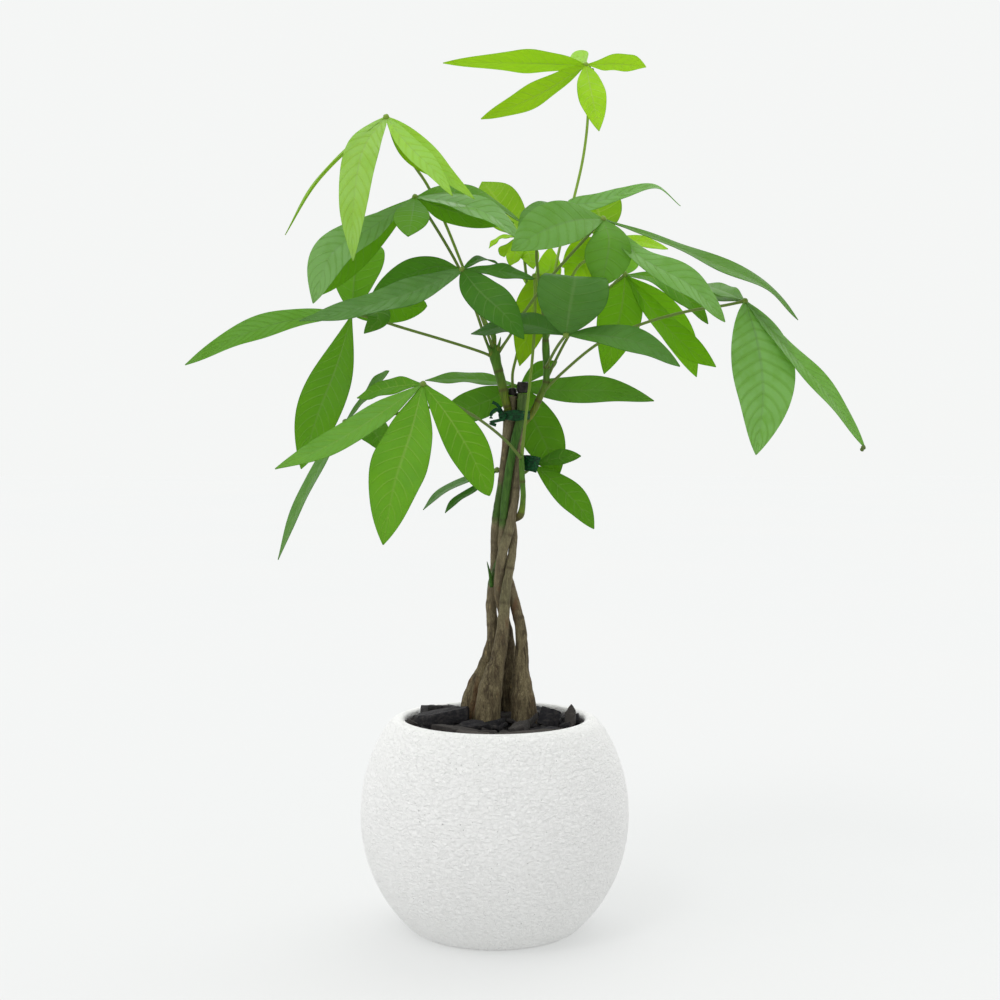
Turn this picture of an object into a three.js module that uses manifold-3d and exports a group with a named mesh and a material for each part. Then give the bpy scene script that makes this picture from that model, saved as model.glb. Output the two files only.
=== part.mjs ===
// A potted money tree: five braided stems in a ball planter, with an open crown of palmate
// leaves. Millimetres, +Z up, the front towards -Y. The origin is the middle of the underside
// of the pot.

import * as THREE from 'three';
import { mergeVertices } from 'three/addons/utils/BufferGeometryUtils.js';
import Module from 'manifold-3d';

const wasm = await Module();
wasm.setup();

// Height of the underside of the pot in the heights below. The finished tree is raised by as
// much, so that it stands on z = 0.
const FLOOR_LEVEL = -4;

// Pot
const POT_RADIUS = 110;
const POT_BELLY_HEIGHT = 90;
const POT_UPPER_REACH = 121;
const POT_LOWER_REACH = 118;
const POT_WALL = 9;
const POT_FLOOR = 14;
const POT_LIP_HEIGHT = 168;
const POT_OPENING_RADIUS = 74;
const POT_FOOT_ROUND = 2.5;
const POT_LIP_ROUND = 1.6;
const POT_LIP_SHOULDER = 9;
const POT_MOUTH_DEPTH = 5;
const POT_MOUTH_SLOPE = 8;
const POT_LEVELS = 10;
const POT_SEGMENTS = 32;

// Fill of the pot
const GAP = 0.3;
const SOIL_TOP = 148;
const BARK_BED_TOP = 158;
const STEM_FOOT = 122;
const CHIP_COUNT = 22;
const CHIP_SEED = 11;
const CHIP_SPREAD = 64;
const CHIP_SPIRAL = 2.4;
const CHIP_LEVEL = 160.5;
const CHIP_HEAP = 6;
const CHIP_LENGTH = [18, 32];
const CHIP_BREADTH = [10, 17];
const CHIP_THICKNESS = [5, 8];
const CHIP_TILT = 0.7;
const CHIP_UNEVENNESS = 3;
const MULCH_CLEARANCE = 1;
const MULCH_HEADROOM = 60;

// Leaves
const BLADE_THICKNESS = 0.7;
const BLADE_STATIONS = 6;
const RIB_DEPTH = 0.9;
const BLADE_FOLD = 8;
const BLADE_WAVES = 4.5;
const BLADE_WIDEST = 0.547;
const BLADE_FULL = 0.85;
const BLADE_LEAST = [1.2, 0.5];
const STALK_RADIUS = 1.2;
const STALK_STEPS = 6;
const HUB_RADIUS = 2.6;

// Wood
const STEM_SIDES = 8;
const SEAL_GAP = 0.3;

// Places in the crown and the braid are given as they are seen from the front: x across and z
// up in the plane through the middle of the pot, and y the real depth behind that plane.
const EYE_DISTANCE = 1300;
const EYE_HEIGHT = 400;

function seen([x, y, z]) {
  const grown = 1 + y / EYE_DISTANCE;
  return new THREE.Vector3(x * grown, y, EYE_HEIGHT + (z - EYE_HEIGHT) * grown);
}

// Closed bodies

function solidOf(geometry) {
  const bare = geometry.clone();
  bare.deleteAttribute('normal');
  bare.deleteAttribute('uv');
  const merged = mergeVertices(bare, 1e-4);
  const index = merged.index.array;
  const corners = [];
  for (let i = 0; i < index.length; i += 3) {
    const [a, b, c] = [index[i], index[i + 1], index[i + 2]];
    if (a !== b && b !== c && a !== c) corners.push(a, b, c);
  }
  return new wasm.Manifold(new wasm.Mesh({
    numProp: 3,
    vertProperties: new Float32Array(merged.attributes.position.array),
    triVerts: new Uint32Array(corners),
  }));
}

function geometryOf(solid) {
  const mesh = solid.getMesh();
  const geometry = new THREE.BufferGeometry();
  geometry.setAttribute('position', new THREE.BufferAttribute(mesh.vertProperties, 3));
  geometry.setIndex(new THREE.BufferAttribute(mesh.triVerts, 1));
  const flat = geometry.toNonIndexed();
  flat.computeVertexNormals();
  return flat;
}

function joined(solids) {
  return solids.reduce((whole, solid) => whole.add(solid));
}

function largestBody(solid) {
  const bodies = solid.decompose();
  bodies.sort((a, b) => b.volume() - a.volume());
  return bodies[0];
}

// Skin over rings of equal count, each turning anticlockwise seen from the end they run to.
// From ring corner flipFrom on, the quads are split the other way.
function loft(rings, flipFrom = Infinity) {
  const count = rings[0].length;
  const positions = rings.flat().flatMap((p) => [p.x, p.y, p.z]);
  const index = [];
  for (let i = 0; i + 1 < rings.length; i += 1) {
    for (let j = 0; j < count; j += 1) {
      const a = i * count + j;
      const b = i * count + (j + 1) % count;
      const c = a + count;
      const d = b + count;
      if (j < flipFrom) index.push(a, b, d, a, d, c);
      else index.push(a, b, c, b, d, c);
    }
  }
  const last = (rings.length - 1) * count;
  for (let j = 1; j + 1 < count; j += 1) {
    index.push(0, j + 1, j);
    index.push(last, last + j, last + j + 1);
  }
  const geometry = new THREE.BufferGeometry();
  geometry.setAttribute('position', new THREE.Float32BufferAttribute(positions, 3));
  geometry.setIndex(index);
  return geometry;
}

// Round rod through points, with a radius at each point, made larger all round by extra.
function rod(points, radii, steps, sides, extra = 0) {
  const curve = new THREE.CatmullRomCurve3(points);
  const spans = points.length - 1;
  const chord = points[spans].clone().sub(points[0]);
  const across = Math.abs(chord.y) > 0.7 * chord.length()
    ? new THREE.Vector3(1, 0, 0)
    : new THREE.Vector3(0, 1, 0);
  const rings = [];
  for (let i = 0; i <= steps; i += 1) {
    const t = i / steps;
    const centre = curve.getPoint(t);
    const along = curve.getTangent(t);
    const u = across.clone().addScaledVector(along, -across.dot(along)).normalize();
    const v = along.clone().cross(u);
    if (i === 0) centre.addScaledVector(along, -extra);
    if (i === steps) centre.addScaledVector(along, extra);
    const span = Math.min(Math.floor(t * spans), spans - 1);
    const radius = extra + THREE.MathUtils.lerp(radii[span], radii[span + 1], t * spans - span);
    const ring = [];
    for (let k = 0; k < sides; k += 1) {
      const turn = (2 * Math.PI * k) / sides;
      ring.push(centre.clone()
        .addScaledVector(u, radius * Math.cos(turn))
        .addScaledVector(v, radius * Math.sin(turn)));
    }
    rings.push(ring);
  }
  return loft(rings);
}

function randomFrom(seed) {
  let state = seed;
  return () => {
    state = (state * 1664525 + 1013904223) % 4294967296;
    return state / 4294967296;
  };
}

// Pot: a ball with a flat foot, a round mouth and an even wall

function potOuterRadius(z) {
  const reach = z < POT_BELLY_HEIGHT ? POT_LOWER_REACH : POT_UPPER_REACH;
  return POT_RADIUS * Math.sqrt(1 - ((z - POT_BELLY_HEIGHT) / reach) ** 2);
}

// The inner wall from the floor up to the mouth, as radius and height
const WALL_LEVELS = 6;
const MOUTH_HEIGHT = POT_LIP_HEIGHT - POT_MOUTH_DEPTH;
const INNER_WALL = [];
for (let i = 0; i <= WALL_LEVELS; i += 1) {
  const z = THREE.MathUtils.lerp(POT_FLOOR, MOUTH_HEIGHT - POT_MOUTH_SLOPE, i / WALL_LEVELS);
  INNER_WALL.push(new THREE.Vector2(potOuterRadius(z) - POT_WALL, z));
}
INNER_WALL.push(new THREE.Vector2(POT_OPENING_RADIUS, MOUTH_HEIGHT));

function potInnerRadius(z) {
  const above = INNER_WALL.findIndex((level) => level.y >= z);
  const high = INNER_WALL[Math.max(above, 1)];
  const low = INNER_WALL[Math.max(above, 1) - 1];
  return THREE.MathUtils.mapLinear(z, low.y, high.y, low.x, high.x);
}

function potBody() {
  const outline = [new THREE.Vector2(0, FLOOR_LEVEL)];
  outline.push(new THREE.Vector2(potOuterRadius(FLOOR_LEVEL) - POT_FOOT_ROUND, FLOOR_LEVEL));
  for (let i = 0; i <= POT_LEVELS; i += 1) {
    const z = THREE.MathUtils.lerp(FLOOR_LEVEL + POT_FOOT_ROUND, MOUTH_HEIGHT, i / POT_LEVELS);
    outline.push(new THREE.Vector2(potOuterRadius(z), z));
  }
  outline.push(new THREE.Vector2(POT_OPENING_RADIUS + POT_LIP_SHOULDER, POT_LIP_HEIGHT - 1));
  outline.push(new THREE.Vector2(POT_OPENING_RADIUS + POT_LIP_ROUND, POT_LIP_HEIGHT));
  outline.push(new THREE.Vector2(POT_OPENING_RADIUS, POT_LIP_HEIGHT - POT_LIP_ROUND));
  outline.push(...INNER_WALL.slice().reverse());
  outline.push(new THREE.Vector2(0, POT_FLOOR));
  return new THREE.LatheGeometry(outline, POT_SEGMENTS).rotateX(Math.PI / 2);
}

// What fills the pot between two heights, clear of its wall
function fillBetween(low, high) {
  const between = INNER_WALL.map((level) => level.y).filter((z) => z > low && z < high);
  const outline = [low, ...between, high].map(
    (z) => new THREE.Vector2(potInnerRadius(z) - 1.3 * GAP, z),
  );
  outline.unshift(new THREE.Vector2(0, low));
  outline.push(new THREE.Vector2(0, high));
  return new THREE.LatheGeometry(outline, POT_SEGMENTS).rotateX(Math.PI / 2);
}

// Bark chip: a flat uneven slab lying at a slant
function barkChip(at, length, breadth, thickness, turn, pitch, roll, random) {
  const corners = [];
  const sides = 6;
  for (let k = 0; k < sides; k += 1) {
    const angle = (2 * Math.PI * (k + 0.5 * random())) / sides;
    const reach = 0.8 + 0.35 * random();
    corners.push(new THREE.Vector2(
      0.5 * length * reach * Math.cos(angle),
      0.5 * breadth * reach * Math.sin(angle),
    ));
  }
  return new THREE.ExtrudeGeometry(new THREE.Shape(corners), {
    depth: thickness,
    bevelEnabled: false,
  })
    .translate(0, 0, -thickness / 2)
    .rotateX(roll)
    .rotateY(pitch)
    .rotateZ(turn)
    .translate(...at);
}

// Chips that lie in front, where the eye falls on them: place, size and turns in degrees
const FRONT_CHIPS = [
  { at: [-17, -60, 164], size: [36, 13, 5], turn: -8, pitch: 4 },
  { at: [-28, -48, 165], size: [44, 14, 5], turn: -12, pitch: 6 },
  { at: [6, -66, 163.5], size: [13, 10, 6], turn: 10, pitch: 0 },
  { at: [-7, -70, 162], size: [15, 9, 6], turn: -20, pitch: 0 },
  { at: [31, -58, 164], size: [56, 22, 5], turn: 6, pitch: -3 },
  { at: [44, -20, 171], size: [20, 16, 14], turn: 30, pitch: 20 },
  { at: [61, -16, 168], size: [30, 9, 5], turn: 70, pitch: -60 },
  { at: [-66, -14, 163], size: [16, 10, 6], turn: 15, pitch: 30 },
  { at: [-42, -20, 171], size: [46, 24, 11], turn: 12, pitch: -8 },
  { at: [-50, 12, 170], size: [34, 26, 10], turn: 60, pitch: 8 },
];

function barkMulch() {
  const random = randomFrom(CHIP_SEED);
  const degrees = Math.PI / 180;
  const chips = FRONT_CHIPS.map(({ at, size, turn, pitch }) => barkChip(
    at, ...size, turn * degrees, pitch * degrees, 0.15 * (random() - 0.5), random,
  ));
  const between = (range) => THREE.MathUtils.lerp(...range, random());
  for (let k = 0; k < CHIP_COUNT; k += 1) {
    const reach = CHIP_SPREAD * Math.sqrt((k + 0.5) / CHIP_COUNT);
    const angle = k * CHIP_SPIRAL;
    const level = CHIP_LEVEL + CHIP_HEAP * (1 - reach / POT_OPENING_RADIUS)
      + CHIP_UNEVENNESS * random();
    chips.push(barkChip(
      [reach * Math.cos(angle), reach * Math.sin(angle), level],
      between(CHIP_LENGTH), between(CHIP_BREADTH), between(CHIP_THICKNESS),
      2 * Math.PI * random(), CHIP_TILT * (random() - 0.5), CHIP_TILT * (random() - 0.5), random,
    ));
  }
  const bed = solidOf(fillBetween(SOIL_TOP + GAP, BARK_BED_TOP));
  const mouthRadius = POT_OPENING_RADIUS - MULCH_CLEARANCE;
  const mouth = solidOf(new THREE.CylinderGeometry(
    mouthRadius, mouthRadius, MULCH_HEADROOM, POT_SEGMENTS,
  ).rotateX(Math.PI / 2).translate(0, 0, SOIL_TOP + GAP + MULCH_HEADROOM / 2));
  return bed.add(joined(chips.map(solidOf)).intersect(mouth));
}

// Wood: each stem as a list of places from its foot to its cut top, with its radius there

const STEMS = {
  stem_front: [
    [-6, -14, STEM_FOOT, 11.5], [-6, -14, 158, 11.5], [-6, -14, 172, 10.9], [-4, -13, 187, 10],
    [-1, -12, 202, 8.2], [3, -11, 217, 6], [6, -10, 235, 5.4], [7.6, -10, 254, 4.7],
    [9.3, -10, 272, 4.1], [11.8, -9, 286, 3.6], [14.6, -6, 303, 3.4], [15.4, 0, 318, 3.3],
    [14, 2, 332, 3.2], [12.6, 3, 348, 3.1], [13.2, 4.5, 371, 3], [15, 6, 396, 3],
    [17.6, 5.5, 412, 3], [18, 5, 429, 3],
  ],
  stem_right: [
    [25, -8, STEM_FOOT, 11.8], [25, -8, 160, 11.8], [23.6, -8, 181, 10], [22.4, -7, 194, 8.2],
    [22, -6, 209, 6.2], [22.3, -5, 227, 5.1], [21, -4, 243, 4.6], [18, -3, 256, 4.4],
    [14.5, -1, 269, 4.1], [11, 0, 283, 3.7], [7.8, 0.8, 297, 3.5], [5.8, 0, 309, 3.4],
    [6.4, -2, 321, 3.3], [7.7, -4, 337, 3.3], [9, -5, 350, 3.3], [11.3, -6, 367, 3.3],
    [15, -7, 388, 3.3], [19, -7, 404, 3.5], [22, -7, 419, 3.9], [23.3, -6.5, 434, 4.3],
  ],
  stem_middle: [
    [11, 13, STEM_FOOT, 8.6], [11, 13, 160, 8.6], [10.6, 12, 181, 7.4], [11.4, 10, 198, 6],
    [12.4, 7, 219, 4.8], [11, 3, 235, 4.4], [8, -0.5, 249, 4.2], [4.8, -2, 262, 4],
    [3.2, -3.5, 273, 3.9], [3.9, -5.5, 285, 3.9], [5.2, -7.5, 297, 4], [8, -8, 309, 4],
    [12, -7, 322, 3.9], [15, -5.5, 337, 3.5], [17, -4, 350, 3.4], [18, -2.5, 366, 3.1],
    [19, -1.5, 385, 3], [20.4, -0.5, 400, 3], [21.6, 0, 412, 3], [22.5, 1, 429, 3],
  ],
  stem_left: [
    [-20.5, 3, STEM_FOOT, 11], [-20.5, 3, 160, 11], [-17.5, 3, 181, 9.8], [-14.4, 2, 192, 8.4],
    [-8.6, 0, 208, 6.2], [-4.3, 0, 221, 5.2], [-1, 0, 234, 4.8], [-2, 2, 246, 4.6],
    [-2.8, 4, 257, 4.4], [-2.6, 6, 268, 4.2], [-0.6, 7, 279, 3.9], [2, 7.6, 290, 3.6],
    [5.4, 8.6, 301, 3.5], [9, 9.5, 313, 3.3], [9.6, 10, 337, 3.1], [10.2, 10.5, 363, 3],
    [9, 9, 390, 3], [10, 7, 412, 3], [11, 7, 427, 3],
  ],
  stem_back: [
    [-7, 22, STEM_FOOT, 8.4], [-7, 22, 160, 8.4], [-6, 20, 181, 7], [-4, 17, 205, 5.2],
    [-2, 14, 232, 4.6], [-2.4, 14, 257, 4.2], [-2.6, 14.5, 272, 4], [-0.6, 14, 285, 3.7],
    [0, 10, 297, 3.6], [0.2, 5, 309, 3.6], [0.3, 2.4, 321, 3.5], [1.6, 1.5, 335, 3.4],
    [3.2, 1, 346, 3.3], [5.4, 0.8, 358, 3.3], [7.6, 0.3, 378, 3.3], [10, -0.5, 396, 3.3],
    [12.4, -1, 410, 3.4], [14.4, -0.6, 422, 3.4], [14.6, -0.4, 432, 3.4],
  ],
};

const SHOOTS = {
  branch_left: [
    [12.6, -2.4, 414, 3], [9.6, -4, 426, 3.4], [6.4, -4.4, 440, 3.8], [2, -4, 457, 4.1],
    [-0.2, -3, 466, 4.7], [-1.2, -3, 472, 3.8], [-1, -3, 478, 1.6],
  ],
  branch_right: [
    [22, 0, 407, 2.6], [31.4, 1, 419, 2.9], [38, 0, 433, 2.9], [42, -2, 442, 2.9],
    [42.5, -3, 455, 2.7], [42.2, -4, 470, 3.2], [41.6, -6, 486, 2.4], [40.8, -8, 499, 1.5],
  ],
  shoot_side: [
    [15, -3, 330, 2.6], [21, -6, 334, 2.9], [23.4, -9, 348, 2.3], [22.8, -12, 363, 2.2],
    [22.2, -15, 376, 2.3], [22.2, -16, 384, 1.8],
  ],
};

// Buds and sprouts, each with the piece that it grows on
const BUD_SCALES = [
  { on: 'branch_left', at: [-1, -3, 474], tip: [-0.6, -4, 487], radius: 2.5 },
  { on: 'branch_left', at: [-2.5, -5, 466], tip: [-6.8, -9, 476], radius: 2 },
  { on: 'branch_left', at: [1.5, -4, 469], tip: [5, -6, 481], radius: 1.8 },
  { on: 'stem_left', at: [-2.4, 4, 275], tip: [-6.4, 2, 296], radius: 1.8 },
];

function woodRod(places, extra = 0) {
  const points = places.map(([x, y, z]) => seen([x, y, z]));
  const radii = places.map(([, , , radius]) => radius);
  return rod(points, radii, places.length + 1, STEM_SIDES, extra);
}

function budScale({ at, tip, radius }, extra = 0) {
  const from = seen(at);
  const to = seen(tip);
  const radii = [radius, 0.6 * radius, 0.15];
  return rod([from, from.clone().lerp(to, 0.5), to], radii, 2, 5, extra);
}

function budsOn(name) {
  return BUD_SCALES.filter((scale) => scale.on === name).map((scale) => solidOf(budScale(scale)));
}

// Black seal on a cut top: a short plug that sits on the end of the stem
function seal(places, height, radius) {
  const top = seen(places[places.length - 1].slice(0, 3));
  return new THREE.CylinderGeometry(0.92 * radius, radius, height, 10)
    .rotateX(Math.PI / 2)
    .translate(top.x, top.y, top.z + SEAL_GAP + height / 2 + 0.4);
}

const SEALS = [
  ['seal_back', 'stem_back', 6, 3.6],
  ['seal_right', 'stem_right', 9, 4.9],
  ['seal_front', 'stem_front', 5, 2.7],
  ['seal_middle', 'stem_middle', 4, 2.8],
  ['seal_left', 'stem_left', 4, 2.9],
];

// Ties

const TOP_TIE = { middle: [16.5, -0.6, 416], across: 12.6, deep: 12.4, height: 9, thickness: 1.6 };
const TIE_ENDS = [
  [[6, -10, 417], [1, -13, 421], [-2.5, -14, 418], [-3, -14, 413.5]],
  [[8, -12, 413], [3, -14, 412], [-3.4, -16, 410], [1, -14, 408]],
  [[6, -10, 419], [2, -12, 425], [-2, -12, 427]],
];
const SIDE_TIE = [[18.5, 2, 377], [23.5, 2, 377], [27, -4, 377], [33, -7, 376], [36, -6.4, 375]];

function ribbon(places, height, thickness) {
  const curve = new THREE.CatmullRomCurve3(places.map(seen));
  const steps = 2 * places.length;
  const up = new THREE.Vector3(0, 0, 1);
  const rings = [];
  for (let i = 0; i <= steps; i += 1) {
    const centre = curve.getPoint(i / steps);
    const along = curve.getTangent(i / steps);
    const side = up.clone().addScaledVector(along, -up.dot(along)).normalize();
    const out = along.clone().cross(side);
    rings.push([[-1, -1], [1, -1], [1, 1], [-1, 1]].map(([s, o]) => centre.clone()
      .addScaledVector(side, (s * height) / 2)
      .addScaledVector(out, (o * thickness) / 2)));
  }
  return loft(rings);
}

function topTie() {
  const { middle, across, deep, height, thickness } = TOP_TIE;
  const at = seen(middle);
  const outer = new THREE.Shape();
  outer.absellipse(0, 0, across, deep, 0, 2 * Math.PI);
  const hole = new THREE.Path();
  hole.absellipse(0, 0, across - thickness, deep - thickness, 0, 2 * Math.PI);
  outer.holes.push(hole);
  const band = new THREE.ExtrudeGeometry(outer, {
    depth: height,
    bevelEnabled: false,
    curveSegments: 7,
  }).translate(at.x, at.y, at.z - height / 2);
  return joined([band, ...TIE_ENDS.map((end) => ribbon(end, 2.6, 1.4))].map(solidOf));
}

// Leaf: a stalk from the wood to a hub, and leaflets that spread from the hub

// Share of the full width along a blade, greatest at t = widest. A smaller full is blunter.
function bladeWidth(t, widest, full) {
  const power = Math.log(0.5) / Math.log(widest);
  return Math.max(Math.sin(Math.PI * t ** power), 0) ** full;
}

// Leaflet from the hub through the via places to its tip. Its upper side faces the way that face
// says, then leans about the midrib by lean degrees at the base and tipLean at the tip. The
// halves rise by fold degrees from the midrib, and the edges wave by wave millimetres.
function blade(hub, {
  via, tip, width, face, lean = 0, tipLean = lean, fold = BLADE_FOLD, wave = 1,
  waves = BLADE_WAVES, widest = BLADE_WIDEST, full = BLADE_FULL,
}) {
  const base = seen(hub);
  const end = seen(tip);
  const curve = new THREE.CatmullRomCurve3([base, ...via.map(seen), end]);
  const side = end.clone().sub(base).cross(new THREE.Vector3(...face)).normalize();
  const lift = Math.sin(THREE.MathUtils.degToRad(fold));
  const flat = Math.cos(THREE.MathUtils.degToRad(fold));
  const skin = BLADE_THICKNESS / 2;
  const rings = [];
  for (let i = 0; i <= BLADE_STATIONS; i += 1) {
    const t = i / BLADE_STATIONS;
    const centre = curve.getPoint(t);
    const along = curve.getTangent(t);
    const turn = THREE.MathUtils.degToRad(THREE.MathUtils.lerp(lean, tipLean, t));
    const across = side.clone().addScaledVector(along, -side.dot(along)).normalize();
    across.applyAxisAngle(along, -turn);
    const up = across.clone().cross(along);
    const shape = bladeWidth(t, widest, full);
    const half = Math.max((width / 2) * shape, THREE.MathUtils.lerp(...BLADE_LEAST, t));
    const rib = skin + RIB_DEPTH * (1 - t);
    const ripple = wave * Math.sin(waves * Math.PI * t) * shape;
    const edge = half * lift;
    const place = (s, height) => centre.clone()
      .addScaledVector(across, s * half * flat)
      .addScaledVector(up, height);
    rings.push([
      place(-1, edge + ripple + skin),
      place(0, skin),
      place(1, edge - ripple + skin),
      place(1, edge - ripple - skin),
      place(0, -rib),
      place(-1, edge + ripple - skin),
    ]);
  }
  return loft(rings, 3);
}

const LIME = 0x93c62a;
const BRIGHT = 0x5fa31f;
const MIDDLE = 0x3f7f2c;
const DARK = 0x245c22;

// Ways that the upper side of a leaflet faces
const FRONT = [0, -1, 0];
const BACK = [0, 1, 0];

const LEAVES = [
  {
    name: 'leaf_top',
    colour: LIME,
    stalk: [[41.6, -5, 488], [46, 2, 508], [49, 14, 531], [54, 30, 556], [66, 56, 598],
     [73.6, 64, 633], [77, 66, 669], [75, 60, 705]],
    leaflets: [
      { via: [[46.4, 60, 706.1], [13.5, 56, 706.9]], tip: [-42.6, 50, 706.5], width: 27, face: BACK,
       lean: 58, widest: 0.5 },
      { via: [[35.7, 38, 680.6]], tip: [-11.3, 15, 660.4], width: 25, face: BACK, lean: 50,
       widest: 0.5 },
      { via: [[80.2, 28, 679.3]], tip: [86, 5, 650.5], width: 24, face: FRONT, widest: 0.48 },
      { via: [[101.6, 80, 706.1]], tip: [124.7, 95, 703.2], width: 23, face: BACK, lean: -64 },
      { via: [[73.6, 74, 710.6], [62.1, 92, 709]], tip: [57.1, 104, 698.3], width: 15, face: FRONT,
       lean: -25, wave: 0 },
    ],
  },
  {
    name: 'leaf_high_left',
    colour: LIME,
    stalk: [[1, 1, 470], [-3, 6, 484], [-12, 5, 503], [-26, -8, 538], [-41, -18, 575],
     [-55, -30, 605], [-69, -48, 626], [-89.5, -80, 662]],
    leaflets: [
      { via: [[-117.5, -80, 638.1], [-147.2, -79, 606.8]], tip: [-172.7, -76, 564.8], width: 24,
       face: FRONT, lean: -76, wave: 0.3 },
      { via: [[-107.6, -91, 636.5], [-115.9, -102, 592]], tip: [-116.7, -105, 543.4], width: 28,
       face: FRONT, lean: -15, widest: 0.45 },
      { via: [[-70.6, -96, 638.1], [-52.4, -106, 620]], tip: [-34.7, -112, 596.9], width: 17,
       face: FRONT, lean: 20, wave: 0.4, widest: 0.45 },
      { via: [[-63.2, -86, 638.1], [-42.6, -95, 616.7]], tip: [-16.6, -100, 594.5], width: 18,
       face: FRONT, lean: 20, wave: 0.4, widest: 0.42 },
      { via: [[-73, -72, 637.3]], tip: [-53.3, -70, 613.8], width: 15, face: FRONT, wave: 0.4 },
    ],
  },
  {
    name: 'leaf_middle_left',
    colour: MIDDLE,
    stalk: [[-2.5, 1, 466], [-8, 3, 480], [-15, -8, 501], [-29.4, -34, 537.6], [-54, -52, 579.6],
     [-65.6, -62, 596]],
    leaflets: [
      { via: [[-99.4, -74, 572.2], [-134, -86, 549.2]], tip: [-149.7, -88, 508.4], width: 32,
       face: FRONT, lean: -20, widest: 0.62 },
      { via: [[-68.1, -92, 580.5]], tip: [-71.4, -118, 563.6], width: 28, face: FRONT, wave: 0.3,
       widest: 0.58 },
      { via: [[-35.1, -74, 592], [-5.5, -80, 582.1]], tip: [20.9, -84, 561.5], width: 34,
       face: FRONT, lean: 55 },
      { via: [[-36.8, -52, 599.4], [-6.3, -38, 592]], tip: [21.7, -22, 575.5], width: 30,
       face: FRONT, lean: 58 },
      { via: [[-35.1, -58, 585]], tip: [15.9, -56, 574.7], width: 24, face: BACK, lean: -25 },
      { via: [[-109.3, -48, 558.2]], tip: [-143.1, -46, 515.4], width: 28, face: BACK, lean: 10,
       widest: 0.55 },
    ],
  },
  {
    name: 'leaf_long_left',
    colour: DARK,
    stalk: [[-2, -6, 473], [-10.4, -30, 496], [-17, -55, 513], [-27, -85, 536]],
    leaflets: [
      { via: [[-68.1, -98, 517.4], [-117.5, -110, 503]], tip: [-161.2, -116, 494], width: 28,
       face: FRONT, lean: -42, wave: 1.6, widest: 0.4 },
      { via: [[-48.3, -68, 539.3], [-76.3, -55, 529.4]], tip: [-101, -45, 516.2], width: 24,
       face: BACK, lean: 42 },
      { via: [[-11.3, -70, 545]], tip: [3.2, -52, 540.9], width: 12, face: FRONT, lean: 60,
       wave: 0.4 },
      { via: [[3.6, -92, 534.7]], tip: [32.8, -88, 528.6], width: 18, face: FRONT, lean: 50 },
      { via: [[-12.1, -104, 517.9], [7.7, -116, 499.7]], tip: [24.2, -120, 479.1], width: 30,
       face: FRONT, lean: 15, widest: 0.46 },
    ],
  },
  {
    name: 'leaf_hanging_left',
    colour: MIDDLE,
    stalk: [[-2, -4, 464.5], [-10, -6, 468], [-41, -8, 478], [-78, -14, 489], [-103, -20, 497],
     [-117.5, -24, 500]],
    leaflets: [
      { via: [[-129.9, -34, 457.7], [-145.5, -42, 417.3]], tip: [-159.5, -38, 372], width: 38,
       face: FRONT, lean: -10, wave: 0.6, widest: 0.57 },
      { via: [[-115.1, 5, 534.3], [-109.3, 30, 556.6]], tip: [-103.5, 55, 558.2], width: 44,
       face: BACK, wave: 0.3, widest: 0.5 },
      { via: [[-84.6, 0, 504.7]], tip: [-55.7, 20, 506.3], width: 28, face: BACK, lean: -25,
       wave: 0.3, full: 0.6 },
      { via: [[-101, -35, 503.8], [-96.1, -45, 495.6]], tip: [-107.6, -50, 483.7], width: 20,
       face: FRONT, lean: 30, wave: 0.3 },
      { via: [[-160.4, -34, 496.4], [-207.3, -46, 483.3]], tip: [-255.1, -55, 457.7], width: 21,
       face: BACK, lean: 38, wave: 1.2 },
    ],
  },
  {
    name: 'leaf_upper_right',
    colour: MIDDLE,
    stalk: [[3, -3, 468], [12.6, -8, 482], [25, -14, 502], [47, -36, 531], [73.6, -62, 560.7],
     [89.3, -80, 578]],
    leaflets: [
      { via: [[63.7, -98, 576.3], [38.2, -110, 567.3]], tip: [13.5, -118, 552], width: 40,
       face: FRONT, lean: -20, wave: 0.5, widest: 0.5 },
      { via: [[94.2, -94, 559.9], [91.7, -92, 540.9]], tip: [86.8, -86, 522], width: 36,
       face: FRONT, wave: 0.5, widest: 0.53 },
      { via: [[119.7, -94, 546.7], [162.6, -100, 522]], tip: [189.8, -100, 493.1], width: 31,
       face: FRONT, lean: 42, wave: 1.4, widest: 0.58 },
      { via: [[136.2, -66, 560.7], [177.4, -58, 542.6], [222.7, -50, 522]],
       tip: [249.9, -45, 494.8], width: 26, face: FRONT, lean: 62, wave: 1.2, widest: 0.6 },
    ],
  },
  {
    name: 'leaf_curled_back',
    colour: MIDDLE,
    stalk: [[40.6, -9, 496], [38.2, -15, 512], [36, -18, 530], [35, -18, 556], [44, -14, 575.5],
     [58.8, -10, 589.5]],
    leaflets: [
      { via: [[80.2, -12, 591.2], [104.9, -14, 598.6], [132.9, -12, 604.3]],
       tip: [153.1, -5, 588.7], width: 16, face: FRONT, lean: 15, tipLean: 70, wave: 0.2,
       widest: 0.28 },
      { via: [[42.3, -40, 582.1]], tip: [20.1, -62, 563.2], width: 32, face: FRONT, lean: -30 },
    ],
  },
  {
    name: 'leaf_lime_back_right',
    colour: LIME,
    stalk: [[43, -1, 480], [50, 10, 497], [67.8, 4, 537.6], [77.7, -4, 546], [86.8, -10, 560.7]],
    leaflets: [
      { via: [[86, 12, 581.3], [79.4, 28, 596.1]], tip: [76.9, 43, 593.6], width: 46, face: BACK,
       wave: 0.3 },
      { via: [[120.6, 5, 559]], tip: [142.8, 15, 553.3], width: 15, face: FRONT, lean: 45,
       wave: 0.3 },
      { via: [[75.2, 20, 550.8]], tip: [55.5, 45, 538.4], width: 28, face: BACK, lean: 10 },
      { via: [[86.8, 0, 545.9]], tip: [80.2, 8, 523.6], width: 26, face: BACK },
      { via: [[72, 25, 542.6]], tip: [58.8, 40, 524.4], width: 26, face: BACK },
    ],
  },
  {
    name: 'leaf_lime_back_left',
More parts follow.
